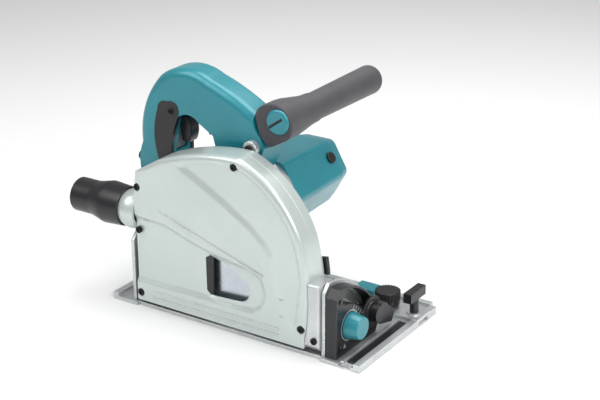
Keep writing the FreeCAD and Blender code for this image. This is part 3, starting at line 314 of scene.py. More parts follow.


# The third colour of each finish is its edge colour: partly wear, partly painted highlight.
FINISHES: dict[Surface, Finish] = {
    Surface.CAST: Finish((0.62, 0.64, 0.64), (0.50, 0.52, 0.53), (0.86, 0.87, 0.87), 0.72, 0.36,
                         0.16, 30.0, 1500.0, 0.00010, 0.7),
    Surface.COVER: Finish((0.57, 0.635, 0.615), (0.53, 0.595, 0.578), (0.90, 0.92, 0.91), 0.45, 0.31,
                          0.05, 14.0, 1800.0, 0.000005, 0.55, 0.10),
    Surface.TEAL: Finish((0.016, 0.235, 0.285), (0.013, 0.205, 0.252), (0.10, 0.45, 0.48), 0.10, 0.30,
                         0.08, 26.0, 2000.0, 0.000012, 0.45, 0.30),
    Surface.GRIP: Stippled((0.052, 0.050, 0.058), (0.040, 0.039, 0.046), (0.11, 0.11, 0.12), 0.0, 0.55,
                           0.10, 40.0, 2400.0, 0.00007, 0.5, 0.0, 0.15),
    Surface.BLACK: Finish((0.013, 0.013, 0.015), (0.009, 0.009, 0.011), (0.07, 0.07, 0.075), 0.0, 0.34,
                          0.12, 34.0, 2200.0, 0.00004, 0.5),
    Surface.BRIGHT: Brushed((0.66, 0.67, 0.68), (0.56, 0.57, 0.58), (0.85, 0.85, 0.85), 0.95, 0.26,
                            0.14, 40.0, 1400.0, 0.00003, 0.5),
    Surface.DARK: Finish((0.030, 0.031, 0.034), (0.018, 0.019, 0.021), (0.30, 0.30, 0.31), 0.85, 0.34,
                         0.16, 60.0, 2400.0, 0.00003, 0.8),
    Surface.BLADE: Brushed((0.60, 0.64, 0.68), (0.48, 0.52, 0.57), (0.85, 0.86, 0.88), 0.95, 0.24,
                           0.12, 30.0, 1100.0, 0.00003, 0.6),
    Surface.COPPER: Brushed((0.56, 0.25, 0.12), (0.42, 0.17, 0.08), (0.80, 0.42, 0.24), 0.95, 0.32,
                            0.16, 50.0, 1500.0, 0.00005, 0.5),
    Surface.GREY: Stippled((0.20, 0.21, 0.22), (0.15, 0.16, 0.17), (0.38, 0.39, 0.40), 0.0, 0.5,
                           0.12, 36.0, 2200.0, 0.00005, 0.5),
}


class Paintshop:
    """Materials by surface, each made once."""

    def __init__(self) -> None:
        """Start with no material made."""
        self.made: dict[Surface, bpy.types.Material] = {}

    def __getitem__(self, surface: Surface) -> bpy.types.Material:
        """The surface's material."""
        if surface not in self.made:
            self.made[surface] = FINISHES[surface].paint(surface.value)
        return self.made[surface]


PAINT = Paintshop()


# ------------------------------------------------------------------ outlines
def arc_through(first: Point, middle: Point, last: Point, steps: int) -> list[Point]:
    """Points on the arc through three points, without its last point."""
    a, b, c = (complex(*p) for p in (first, middle, last))
    w = (c - a) / (b - a)
    centre = (a - b) * (w - abs(w) ** 2) / (2j * w.imag) * -1 + a
    start = math.atan2((a - centre).imag, (a - centre).real)
    sweep = math.remainder(math.atan2((b - centre).imag, (b - centre).real) - start, math.tau)
    end = math.atan2((c - centre).imag, (c - centre).real) - start
    end = end % math.tau if sweep > 0 else end % math.tau - math.tau
    radius = abs(a - centre)
    return [(centre.real + radius * math.cos(start + end * k / steps),
             centre.imag + radius * math.sin(start + end * k / steps)) for k in range(steps)]


def traced(points: Sequence[tuple], steps: int = 14) -> list[Point]:
    """Flatten a closed outline.

    Args:
        points: corners; a third item marks the middle of an arc.
        steps: pieces that each arc is cut into.

    Returns:
        The outline's points.
    """
    flat: list[Point] = []
    count = len(points)
    i = 0
    while i < count:
        here, nxt = points[i], points[(i + 1) % count]
        if len(nxt) > 2:
            flat += arc_through(here[:2], nxt[:2], points[(i + 2) % count][:2], steps)
            i += 2
        else:
            flat.append(here[:2])
            i += 1
    return flat


def rounded(points: Sequence[Point], radius: float | Sequence[float], steps: int = 6) -> list[Point]:
    """Round the corners of a closed outline.

    Args:
        points: corners in order.
        radius: one radius, or one for each corner.
        steps: pieces of each corner's arc.

    Returns:
        The rounded outline.
    """
    count = len(points)
    radii = [radius] * count if isinstance(radius, (int, float)) else list(radius)
    result: list[Point] = []
    for i, size in enumerate(radii):
        corner = Vector(points[i])
        back = (Vector(points[i - 1]) - corner)
        ahead = (Vector(points[(i + 1) % count]) - corner)
        reach = min(size, back.length * 0.49, ahead.length * 0.49)
        first, last = corner + back.normalized() * reach, corner + ahead.normalized() * reach
        if reach < 1e-6:
            result.append(tuple(corner))
            continue
        for k in range(steps + 1):
            t = k / steps
            result.append(tuple(first * (1 - t) ** 2 + corner * 2 * t * (1 - t) + last * t ** 2))
    return result


def offset(points: Sequence[Point], amount: float) -> list[Point]:
    """Move a closed outline inwards by an amount, mitred at its corners."""
    ring = np.array(points)
    before, after = np.roll(ring, 1, 0), np.roll(ring, -1, 0)
    area = np.sum(ring[:, 0] * after[:, 1] - after[:, 0] * ring[:, 1])
    turn = 1.0 if area > 0 else -1.0

    def side(start: np.ndarray, end: np.ndarray) -> np.ndarray:
        """Inward unit normal of each edge."""
        way = (end - start) / np.linalg.norm(end - start, axis=1)[:, None]
        return turn * np.stack((-way[:, 1], way[:, 0]), 1)

    first, second = side(before, ring), side(ring, after)
    both = first + second
    both /= np.sum(both * first, 1)[:, None]
    return [tuple(p) for p in ring + both * amount]


def inside_by(places: np.ndarray, outline: Sequence[Point], closed: bool = True) -> np.ndarray:
    """Distance of places from an outline, positive inside it when it is closed."""
    ring = np.array(outline)
    ends = np.roll(ring, -1, 0) if closed else ring[1:]
    starts = ring if closed else ring[:-1]
    edge = ends - starts
    to = places[:, None, :] - starts[None]
    share = np.clip(np.sum(to * edge, 2) / np.maximum(np.sum(edge * edge, 1), 1e-18), 0, 1)
    nearest = np.linalg.norm(to - share[..., None] * edge, axis=2).min(1)
    if not closed:
        return nearest
    x, z = places[:, 0, None], places[:, 1, None]
    crosses = (starts[:, 1] > z) != (ends[:, 1] > z)
    rise = np.where(np.abs(edge[:, 1]) < 1e-12, 1e-12, edge[:, 1])
    hit = crosses & (x < edge[:, 0] * (z - starts[:, 1]) / rise + starts[:, 0])
    return np.where(hit.sum(1) % 2 == 1, nearest, -nearest)


def step(value: np.ndarray, low: float, high: float) -> np.ndarray:
    """Smooth rise from nought at low to one at high."""
    t = np.clip((value - low) / (high - low), 0, 1)
    return t * t * (3 - 2 * t)


# ------------------------------------------------------------------ meshes
def lift(side: Side, place: Point, height: float) -> Vector:
    """Point of an outline at a height along its plane's normal."""
    if side is Side.TOP:
        return Vector((place[0], place[1], height))
    if side is Side.SIDE:
        return Vector((place[0], height, place[1]))
    return Vector((height, place[0], place[1]))


def bridge(bm: bmesh.types.BMesh, rows: Sequence[list]) -> None:
    """Join rings of equal counts, each to the next, by four-sided faces."""
    for one, two in zip(rows, rows[1:]):
        count = len(one)
        for k in range(count):
            bm.faces.new((one[k], one[(k + 1) % count], two[(k + 1) % count], two[k]))


class Blank:
    """A solid being worked before it becomes a piece."""

    def __init__(self, bm: bmesh.types.BMesh) -> None:
        """Keep the working mesh."""
        self.bm = bm

    @classmethod
    def of(cls, *nodes: str) -> Blank:
        """Copy CAD nodes and weld their triangles into clean faces."""
        bm = bmesh.new()
        for name in nodes:
            bm.from_mesh(frame["nodes"][name].data)
        bmesh.ops.remove_doubles(bm, verts=bm.verts, dist=WELD)
        bmesh.ops.dissolve_limit(bm, angle_limit=FLAT_CAD, verts=bm.verts, edges=bm.edges)
        return cls(bm)

    @classmethod
    def prism(cls, side: Side, outline: Sequence[Point], low: float, high: float) -> Blank:
        """Straight solid of an outline between two heights."""
        bm = bmesh.new()
        rings = [[bm.verts.new(lift(side, p, height)) for p in outline] for height in (low, high)]
        count = len(outline)
        bm.faces.new(rings[0])
        bm.faces.new(rings[1][::-1])
        for i in range(count):
            j = (i + 1) % count
            bm.faces.new((rings[0][j], rings[0][i], rings[1][i], rings[1][j]))
        bmesh.ops.recalc_face_normals(bm, faces=bm.faces)
        return cls(bm)

    @classmethod
    def block(cls, low: Sequence[float], high: Sequence[float]) -> Blank:
        """Block between two corners."""
        outline = [(low[0], low[1]), (high[0], low[1]), (high[0], high[1]), (low[0], high[1])]
        return cls.prism(Side.TOP, outline, low[2], high[2])

    @classmethod
    def turned(cls, profile: Sequence[Point], way: Vector, centre: Sequence[float],
               steps: int = 48) -> Blank:
        """Solid turned about an axis.

        Args:
            profile: (distance along the axis, radius) points; ends on the axis close it.
            way: the axis.
            centre: the point that distances are measured from.
            steps: faces round the axis.

        Returns:
            The turned solid.
        """
        bm = bmesh.new()
        turn = Vector((0, 0, 1)).rotation_difference(Vector(way).normalized()).to_matrix()
        rings = []
        for along, radius in profile:
            spots = 1 if radius < 1e-7 else steps
            ring = []
            for k in range(spots):
                angle = math.tau * k / steps
                flat = Vector((radius * math.cos(angle), radius * math.sin(angle), along))
                ring.append(bm.verts.new(Vector(centre) + turn @ flat))
            rings.append(ring)
        pairs = list(zip(rings, rings[1:]))
        if len(rings[0]) > 1:
            pairs.append((rings[-1], rings[0]))
        for one, two in pairs:
            for k in range(steps):
                corners = [one[k % len(one)], one[(k + 1) % len(one)],
                           two[(k + 1) % len(two)], two[k % len(two)]]
                unique = list(dict.fromkeys(corners))
                if len(unique) > 2:
                    bm.faces.new(unique)
        bmesh.ops.recalc_face_normals(bm, faces=bm.faces)
        return cls(bm)

    @classmethod
    def lofted(cls, rings: Sequence[Sequence[Vector]]) -> Blank:
        """Closed solid through rings of equal counts, capped at both ends."""
        bm = bmesh.new()
        rows = [[bm.verts.new(p) for p in ring] for ring in rings]
        bridge(bm, rows)
        bm.faces.new(rows[0][::-1])
        bm.faces.new(rows[-1])
        bmesh.ops.recalc_face_normals(bm, faces=bm.faces)
        return cls(bm)

    def mesh(self) -> bpy.types.Mesh:
        """Turn the working mesh into mesh data and drop it."""
        data = bpy.data.meshes.new("blank")
        self.bm.to_mesh(data)
        self.bm.free()
        return data

    def _boolean(self, operation: str, tools: Iterable[Blank]) -> Blank:
        """Cut or join tools with the exact solver."""
        tools = list(tools)
        made = [bpy.data.objects.new("work", blank.mesh()) for blank in (self, *tools)]
        for thing in made:
            bpy.context.scene.collection.objects.link(thing)
        for tool in made[1:]:
            change = made[0].modifiers.new("change", "BOOLEAN")
            change.operation = operation
            change.solver = "EXACT"
            change.object = tool
        data = evaluated_mesh(made[0])
        for thing in made:
            bpy.data.objects.remove(thing)
        self.bm = bmesh.new()
        self.bm.from_mesh(data)
        bmesh.ops.remove_doubles(self.bm, verts=self.bm.verts, dist=WELD)
        bmesh.ops.dissolve_limit(self.bm, angle_limit=FLAT_CUT, verts=self.bm.verts,
                                 edges=self.bm.edges)
        return self

    def cut(self, *tools: Blank) -> Blank:
        """Take tools away."""
        return self._boolean("DIFFERENCE", tools)

    def join(self, *tools: Blank) -> Blank:
        """Weld tools on."""
        return self._boolean("UNION", tools)

    def add(self, *others: Blank) -> Blank:
        """Carry other solids in the same piece, unwelded."""
        for other in others:
            data = other.mesh()
            self.bm.from_mesh(data)
            bpy.data.meshes.remove(data)
        return self

    def move(self, matrix: Matrix) -> Blank:
        """Place the solid by a matrix."""
        bmesh.ops.transform(self.bm, matrix=matrix, verts=self.bm.verts)
        return self

    def soften(self, width: float, where: Callable[[Vector], bool] | None = None) -> Blank:
        """Round sharp edges and mark the new faces for edge wear and a painted edge highlight.

        Args:
            width: how far back each edge is cut.
            where: which edges, by their middle; all when left out.

        Returns:
            The blank itself.
        """
        edges = []
        for edge in self.bm.edges:
            if len(edge.link_faces) == 2 and edge.calc_face_angle(0.0) > SHARP:
                middle = (edge.verts[0].co + edge.verts[1].co) / 2
                if where is None or where(middle):
                    edges.append(edge)
        mark = self.bm.faces.layers.float.get(EDGE_MARK) or self.bm.faces.layers.float.new(EDGE_MARK)
        made = bmesh.ops.bevel(self.bm, geom=edges, offset=width, offset_type="OFFSET",
                               segments=EDGE_STEPS, profile=0.5, affect="EDGES", clamp_overlap=True)
        for face in made["faces"]:
            face[mark] = 1.0
        return self

    def piece(self, name: str, body: str, surface: Surface, *replaced: str,
              smooth: float = 34.0) -> bpy.types.Object:
        """Finish the solid as a piece of the machine.

        Args:
            name: the piece's name.
            body: the CAD body that it moves with.
            surface: its finish.
            replaced: CAD nodes that it stands for.
            smooth: angle in degrees below which faces shade as one.

        Returns:
            The finished object.
        """
        data = self.mesh()
        data.materials.clear()
        data.materials.append(PAINT[surface])
        data.shade_smooth()
        data.set_sharp_from_angle(angle=math.radians(smooth))
        thing = bpy.data.objects.new(name, data)
        bpy.context.scene.collection.objects.link(thing)
        weights = thing.modifiers.new("weights", "WEIGHTED_NORMAL")
        weights.keep_sharp = True
        thing.data = evaluated_mesh(thing)
        thing.modifiers.clear()
        thing.data.name = name
        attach(thing, body)
        if replaced:
            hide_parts(*replaced)
        LOG.info("piece %s: %d faces on %s", name, len(thing.data.polygons), body)
        return thing


def evaluated_mesh(thing: bpy.types.Object) -> bpy.types.Mesh:
    """Plain mesh of an object with its modifiers applied."""
    bpy.context.view_layer.update()
    graph = bpy.context.evaluated_depsgraph_get()
    return bpy.data.meshes.new_from_object(thing.evaluated_get(graph))


def dress(surface: Surface, *nodes: str) -> None:
    """Give CAD nodes that stay as they are their finish."""
    for name in nodes:
        data = frame["nodes"][name].data
        data.materials.clear()
        data.materials.append(PAINT[surface])
        LOG.info("node %s: %s", name, surface.value)


def body_of(node: str) -> str:
    """The CAD body that a node moves with."""
    held = frame["record"]["behaviour"]["bodies"]
    return next(body for body, names in held.items() if node in names)


def soft_copies(surface: Surface, width: float, *nodes: str) -> None:
    """Replace CAD nodes by copies with rounded edges."""
    for name in nodes:
        Blank.of(name).soften(width).piece(name + "_soft", body_of(name), surface, name)


# ------------------------------------------------------------------ repeated details
class Pattern:
    """A Geometry Nodes tree that repeats a detail and ends in plain, dressed faces."""

    def __init__(self, name: str, inputs: dict[str, float | Sequence[float]]) -> None:
        """Start a tree with named inputs.

        Args:
            name: the tree's name.
            inputs: sizes by name; a number, a whole number or a vector.
        """
        self.tree = bpy.data.node_groups.new(name, "GeometryNodeTree")
        face = self.tree.interface
        face.new_socket("Geometry", in_out="INPUT", socket_type="NodeSocketGeometry")
        face.new_socket("Geometry", in_out="OUTPUT", socket_type="NodeSocketGeometry")
        self.keys: dict[str, str] = {}
        for label, value in inputs.items():
            kind = {int: "NodeSocketInt", float: "NodeSocketFloat"}.get(type(value),
                                                                        "NodeSocketVector")
            socket = face.new_socket(label, in_out="INPUT", socket_type=kind)
            socket.default_value = value
            self.keys[label] = socket.identifier
        self.start = self.tree.nodes.new("NodeGroupInput")
        self.end = self.tree.nodes.new("NodeGroupOutput")

    def given(self, label: str) -> bpy.types.NodeSocket:
        """The socket of a named input."""
        return self.start.outputs[label]

    def node(self, kind: str, settings: dict | None = None,
             inputs: dict | None = None) -> bpy.types.Node:
        """Add a node, set its properties, then link or set its sockets."""
        node = self.tree.nodes.new(kind)
        for name, value in (settings or {}).items():
            setattr(node, name, value)
        for name, value in (inputs or {}).items():
            if isinstance(value, bpy.types.NodeSocket):
                self.tree.links.new(value, node.inputs[name])
            else:
                node.inputs[name].default_value = value
        return node

    def close(self, instances: bpy.types.NodeSocket, surface: Surface) -> None:
        """Realise the instances, give them their material and end the tree."""
        real = self.node("GeometryNodeRealizeInstances", {}, {"Geometry": instances})
        painted = self.node("GeometryNodeSetMaterial", {}, {
            "Geometry": real.outputs[0], "Material": PAINT[surface]})
        self.tree.links.new(painted.outputs[0], self.end.inputs[0])

    def grow(self, base: bpy.types.Mesh, **values: float | Sequence[float]) -> Blank:
        """Run the tree on a mesh.

        Args:
            base: the geometry that the tree starts from.
            values: sizes for this use; low lines in a name stand for spaces.

        Returns:
            The grown solid or solids.
        """
        thing = bpy.data.objects.new("work", base)
        bpy.context.scene.collection.objects.link(thing)
        rule = thing.modifiers.new("rule", "NODES")
        rule.node_group = self.tree
        for label, value in values.items():
            rule[self.keys[label.replace("_", " ")]] = value
        data = evaluated_mesh(thing)
        bpy.data.objects.remove(thing)
        bm = bmesh.new()
        bm.from_mesh(data)
        bmesh.ops.remove_doubles(bm, verts=bm.verts, dist=WELD)
        bmesh.ops.recalc_face_normals(bm, faces=bm.faces)
        return Blank(bm)


def ring_pattern(surface: Surface) -> Pattern:
    """Ridges stood round a knob: round bars on a circle, along its axis."""
    rule = Pattern("ridges_" + surface.value, {
        "Count": 24, "Circle": 0.01, "Ridge": 0.001, "Length": 0.008, "Lean": 0.0})
    circle = rule.node("GeometryNodeMeshCircle", {}, {
        "Vertices": rule.given("Count"), "Radius": rule.given("Circle")})
    ridge = rule.node("GeometryNodeMeshCone", {}, {
        "Vertices": 8, "Radius Top": rule.given("Ridge"), "Radius Bottom": rule.given("Ridge"),
        "Depth": rule.given("Length")})
    index = rule.node("GeometryNodeInputIndex")
    turn = rule.node("ShaderNodeMath", {"operation": "DIVIDE"}, {0: math.tau, 1: rule.given("Count")})
    angle = rule.node("ShaderNodeMath", {"operation": "MULTIPLY"},
                      {0: index.outputs[0], 1: turn.outputs[0]})
    facing = rule.node("ShaderNodeCombineXYZ", {}, {"Y": rule.given("Lean"), "Z": angle.outputs[0]})
    copies = rule.node("GeometryNodeInstanceOnPoints", {}, {
        "Points": circle.outputs[0], "Instance": ridge.outputs[0], "Rotation": facing.outputs[0]})
    rule.close(copies.outputs[0], surface)
    return rule


def screw_pattern(surface: Surface) -> Pattern:
    """Socket screw heads stood on the points of a mesh, facing along +Z of the turn."""
    rule = Pattern("screws_" + surface.value, {
        "Head": 0.0035, "Height": 0.002, "Socket": 0.0018, "Depth": 0.0012,
        "Turn": (math.pi / 2, 0.0, 0.0)})
    head = rule.node("GeometryNodeMeshCylinder", {}, {
        "Vertices": 28, "Radius": rule.given("Head"), "Depth": rule.given("Height")})
    crown = rule.node("ShaderNodeMath", {"operation": "MULTIPLY"}, {0: rule.given("Head"), 1: 0.82})
    cap = rule.node("GeometryNodeMeshCone", {}, {
        "Vertices": 28, "Radius Top": crown.outputs[0], "Radius Bottom": rule.given("Head"),
        "Depth": 0.0004})
    rise = rule.node("ShaderNodeMath", {"operation": "MULTIPLY"}, {0: rule.given("Height"), 1: 0.5})
    up = rule.node("ShaderNodeCombineXYZ", {}, {"Z": rise.outputs[0]})
    lifted = rule.node("GeometryNodeTransform", {}, {
        "Geometry": cap.outputs[0], "Translation": up.outputs[0]})
    socket = rule.node("GeometryNodeMeshCylinder", {}, {
        "Vertices": 6, "Radius": rule.given("Socket"), "Depth": rule.given("Depth")})
    sunk = rule.node("GeometryNodeTransform", {}, {
        "Geometry": socket.outputs[0], "Translation": up.outputs[0]})
    whole = rule.node("GeometryNodeMeshBoolean", {"operation": "UNION", "solver": "EXACT"})
    rule.tree.links.new(head.outputs[0], whole.inputs["Mesh 2"])
    rule.tree.links.new(lifted.outputs[0], whole.inputs["Mesh 2"])
    hollow = rule.node("GeometryNodeMeshBoolean", {"operation": "DIFFERENCE", "solver": "EXACT"},
                       {"Mesh 1": whole.outputs[0], "Mesh 2": sunk.outputs[0]})
    copies = rule.node("GeometryNodeInstanceOnPoints", {}, {
        "Points": rule.given("Geometry"), "Instance": hollow.outputs[0],
        "Rotation": rule.given("Turn")})
    rule.close(copies.outputs[0], surface)
    return rule


def row_pattern(surface: Surface) -> Pattern:
    """Square-edged bars in an even row."""
    rule = Pattern("row_" + surface.value, {
        "Count": 6, "Pitch": (0.0, 0.0, 0.004), "First": (0.0, 0.0, 0.0),
        "Bar": (0.01, 0.002, 0.002)})
    line = rule.node("GeometryNodeMeshLine", {"mode": "OFFSET"}, {
        "Count": rule.given("Count"), "Start Location": rule.given("First"),
        "Offset": rule.given("Pitch")})
    bar = rule.node("GeometryNodeMeshCube", {}, {"Size": rule.given("Bar")})
    copies = rule.node("GeometryNodeInstanceOnPoints", {}, {
        "Points": line.outputs[0], "Instance": bar.outputs[0]})
    rule.close(copies.outputs[0], surface)
    return rule


def points_mesh(places: Iterable[Sequence[float]]) -> bpy.types.Mesh:
    """Mesh of loose points."""
    data = bpy.data.meshes.new("points")
    data.from_pydata([tuple(p) for p in places], [], [])
    return data


def resampled(points: Sequence[Point], spacing: float) -> list[Point]:
    """Divide the long sides of a closed outline, keeping its corners."""
    result: list[Point] = []
    for i, here in enumerate(points):
        ahead = points[(i + 1) % len(points)]
        parts = max(1, math.ceil(math.dist(here, ahead) / spacing))
        for k in range(parts):
            t = k / parts
            result.append((here[0] + (ahead[0] - here[0]) * t, here[1] + (ahead[1] - here[1]) * t))
    return result


def bar_corners(start: Sequence[float], end: Sequence[float], half: float) -> list[Point]:
    """Corners of a straight bar about a line, from its half width."""
    first, last = Vector(start), Vector(end)
    way = (last - first).normalized()
    across = Vector((-way.y, way.x)) * half
    return [tuple(p) for p in (first - across, last - across, last + across, first + across)]


def loop_edges(first: int, count: int) -> list[tuple[int, int]]:
    """Edges of a closed loop whose points are numbered from first."""
    return [(first + i, first + (i + 1) % count) for i in range(count)]


def between(points: Sequence[Sequence[float]], edges: list[tuple[int, int]],
            outer: Sequence[Point], hole: Sequence[Point]) -> tuple[np.ndarray, list, list]:
    """Triangulate points between an outline and a hole.

    Args:
        points: the points.
        edges: pairs of points that have to be joined.
        outer: outline that the triangles lie in.
        hole: outline that they lie outside.

    Returns:
        The points made, the triangles and, for each point made, those it came from.
    """
    spots, _, faces, sources, _, _ = delaunay_2d_cdt([Vector(p) for p in points], edges, [], 0, 1e-7)
    places = np.array([tuple(p) for p in spots])
    middles = np.array([places[list(f)].mean(0) for f in faces])
    kept = (inside_by(middles, outer) > 0) & (inside_by(middles, hole) < 0)
    return places, [f for f, use in zip(faces, kept) if use], sources


# ------------------------------------------------------------------ blade case
@dataclass
class BladeCover:
    """Painted outer half of the blade case, with its pressed relief."""

    wall: float = 0.0034
    rim: float = 0.0055
    small_rim: float = 0.0012
    rim_steps: int = 7
    spacing: float = 0.0022
    shelf: float = 0.0022
    valley: float = 0.0030
    panel_depth: float = 0.0008
    panel_corner: float = 0.006
    panel_step: tuple[float, float] = (-0.0005, 0.0005)
    band: float = 0.0075
    counterbore: float = 0.0044
    bore_depth: float = 0.0020
    side_wall: float = 0.0025
    mark_height: float = 0.0009
    foot_lines: tuple[float, float] = (0.0216, 0.0148)
    foot_span: tuple[float, float] = (-0.0965, 0.0585)
    short_marks: tuple[tuple[Point, Point], ...] = (((0.0585, 0.0535), (0.0630, 0.0525)),
                                                    ((0.0595, 0.0365), (0.0640, 0.0350)))
    panel_line: tuple[Point, Point] = ((-0.0790, 0.1100), (0.0400, 0.0725))
    # Black strip inside the window: painted shadow at the window's left wall.
    shade_strip: tuple[float, float, float, float] = (-0.0300, -0.0215, 0.0360, 0.0780)
    bracket_screw: tuple[float, float] = (0.0063, 0.020)
    screws: tuple[Point, ...] = ((-0.112, 0.133), (0.008, 0.178), (-0.112, 0.0864),
                                 (-0.112, 0.017), (0.084, 0.028))
    shelf_edge: tuple[Point, ...] = (
        (-0.130, 0.190), (-0.075, 0.1745), (-0.059, 0.1665), (-0.030, 0.152), (-0.003, 0.1375),
        (0.024, 0.121), (0.0415, 0.106), (0.050, 0.094), (0.0535, 0.078), (0.059, 0.055),
        (0.067, 0.040), (0.077, 0.026), (0.082, 0.0), (-0.130, 0.0))
    valley_edge: tuple[Point, ...] = (
        (-0.130, 0.101), (-0.079, 0.0985), (-0.051, 0.0895), (-0.030, 0.084), (0.005, 0.0775),
        (0.026, 0.0755), (0.038, 0.068), (0.042, 0.054), (0.038, 0.040), (0.028, 0.0325),
        (0.003, 0.0305), (-0.030, 0.032), (-0.073, 0.0315), (-0.130, 0.0305))
    panel: tuple[Point, ...] = ((-0.0845, 0.1145), (-0.0690, 0.1285), (-0.0470, 0.1375),
                                (0.034, 0.092), (0.0418, 0.0723), (-0.0815, 0.1105))
    window: tuple[tuple, ...] = (
        (-0.0295, 0.040), (-0.025, 0.0356), (0.010, 0.0374), (0.0225, 0.0475, True),
        (0.014, 0.063), (0.003, 0.0715), (-0.024, 0.079), (-0.030, 0.075))

    def __post_init__(self) -> None:
        """Read the case's place from the frame."""
        self.low, self.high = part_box("blade_cover")

    def outline(self) -> list[Point]:
        """Side view: rear edge, crowned top and a front arc about the plunge pivot."""
        rear, front, low, top = self.low.x, self.high.x, self.low.z, self.high.z
        return resampled(traced([
            (rear, low), (front - 0.006, low), (front, low + 0.052, True), (front - 0.009, top - 0.070),
            (front - 0.035, top - 0.029, True), (0.012, top), (-0.040, top - 0.0055, True),
            (rear + 0.029, top - 0.022), (rear + 0.004, top - 0.037), (rear, top - 0.066)], 36),
            self.spacing * 1.6)

    def relief(self, places: np.ndarray) -> np.ndarray:
        """How far the face lies behind its highest plane.

        Args:
            places: (x, z) rows.

        Returns:
            Depths in metres.
        """
        crown = [p for p in self.outline() if p[0] > self.low.x + 0.003 and p[1] > self.low.z + 0.001]
        from_rim = inside_by(places, crown, closed=False)
        widened = self.band + 0.005 * (1 - step(places[:, 1], 0.040, 0.085))
        clear_of_rim = step(from_rim - widened, 0.0, 0.003)
        proud = step(inside_by(places, self.shelf_edge), -0.0055, 0.0045)
        sunk = step(inside_by(places, self.valley_edge), -0.0030, 0.0032)
        inner = inside_by(places, self.panel)
        top_line = inside_by(places, self.panel[2:4], closed=False)
        panel = step(inner, -0.0005, 0.0005) * step(top_line, 0.0, 0.012)
        return (self.shelf * (1 - proud) * clear_of_rim + self.valley * sunk
                + self.panel_depth * panel)

    def shell(self) -> Blank:
        """Skin with rounded rim, relief and window, closed by its inner wall."""
        edge = self.outline()
        flat = np.array(edge)
        full = (step(flat[:, 0], self.low.x + 0.001, self.low.x + 0.020)
                * step(flat[:, 1], self.low.z + 0.001, self.low.z + 0.010))
        radii = self.small_rim + (self.rim - self.small_rim) * full
        ways = np.array(offset(edge, 1.0)) - flat
        inner_ring = flat + ways * radii[:, None]
        sill = resampled(traced(self.window, 10), 0.002)
        mouth = offset(sill, -0.0008)
        panel = rounded(self.panel, self.panel_corner)
        loops = [list(map(tuple, inner_ring)), mouth]
        loops += [resampled(offset(panel, inset), 0.003) for inset in self.panel_step]
        verts: list[Point] = []
        edges: list[tuple[int, int]] = []
        for loop in loops:
            edges += loop_edges(len(verts), len(loop))
            verts += loop
        xs = np.arange(self.low.x, self.high.x, self.spacing)
        zs = np.arange(self.low.z, self.high.z, self.spacing)
        grid = np.stack(np.meshgrid(xs, zs), -1).reshape(-1, 2)
        keep = inside_by(grid, loops[0]) > self.spacing * 0.5
        keep &= inside_by(grid, mouth) < -self.spacing * 0.4
        keep &= np.abs(inside_by(grid, self.panel)) > self.spacing * 0.6
        verts += [tuple(p) for p in grid[keep]]
        spots, faces, sources = between(verts, edges, loops[0], mouth)
        depths = self.relief(spots)
        bm = bmesh.new()
        face_y = self.low.y
        skin = [bm.verts.new((x, face_y + d, z)) for (x, z), d in zip(spots, depths)]
        for f in faces:
            bm.faces.new([skin[i] for i in f])
        of_input = {i: k for k, group in enumerate(sources) for i in group}
        top = [skin[of_input[i]] for i in range(len(edge))]
        rows = [top]
        start = [v.co.y for v in top]
        for k in range(self.rim_steps - 1, -1, -1):
            angle = math.pi / 2 * k / self.rim_steps
            shift = radii * (1 - math.sin(angle))
            ring = flat + ways * (radii * (1 - math.cos(angle)))[:, None]
            ring_y = [y + s for y, s in zip(start, shift)]
            rows.append([bm.verts.new((x, y, z)) for (x, z), y in zip(ring, ring_y)])
        back = self.high.y
        rows.append([bm.verts.new((x, back, z)) for x, z in flat])
        inside = flat + ways * self.side_wall
        rows.append([bm.verts.new((x, back, z)) for x, z in inside])
        floor_y = face_y + self.wall
        floor = [bm.verts.new((x, floor_y, z)) for x, z in inside]
        rows.append(floor)
        bridge(bm, rows)
        lip = [skin[of_input[len(edge) + i]] for i in range(len(mouth))]
        sunk = [bm.verts.new((x, v.co.y + 0.0007, z)) for (x, z), v in zip(sill, lip)]
        below = [bm.verts.new((x, floor_y, z)) for x, z in sill]
        bridge(bm, [lip, sunk, below])
        self._close_floor(bm, floor, below)
        loose = [v for v in bm.verts if not v.link_faces]
        bmesh.ops.delete(bm, geom=loose, context="VERTS")
        bmesh.ops.remove_doubles(bm, verts=bm.verts, dist=WELD)
        bmesh.ops.recalc_face_normals(bm, faces=bm.faces)
        return Blank(bm)

    @staticmethod
    def _close_floor(bm: bmesh.types.BMesh, outer: list, hole: list) -> None:
        """Fill the inner wall between its edge and the window."""
        every = outer + hole
        flat = [(v.co.x, v.co.z) for v in every]
        count = len(outer)
        edges = loop_edges(0, count) + loop_edges(count, len(hole))
        _, faces, sources = between(flat, edges, flat[:count], flat[count:])
        for f in faces:
            corners = [every[sources[i][0]] for i in f]
            if len(set(corners)) == 3:
                bm.faces.new(corners)

    def bars(self) -> list[Blank]:
        """Raised lines along the foot and the panel, and short marks ahead of the window."""
        rear, front = self.foot_span
        made = [self.bar((rear, z), (front, z + 0.0004), 0.0011) for z in self.foot_lines]
        made.append(self.bar(*self.panel_line, 0.0009))
        return made + [self.bar(start, end, 0.0006) for start, end in self.short_marks]

    def bar(self, start: Point, end: Point, half: float) -> Blank:
        """Raised round-ended line on the face."""
        outline = rounded(bar_corners(start, end, half), half, 4)
        spots = [[start[i] + (end[i] - start[i]) * k / 8 for i in (0, 1)] for k in range(9)]
        face_y = self.low.y + float(self.relief(np.array(spots)).min())
        solid = Blank.prism(Side.SIDE, outline, face_y - self.mark_height, face_y + 0.0030)
        return solid.soften(0.0004)

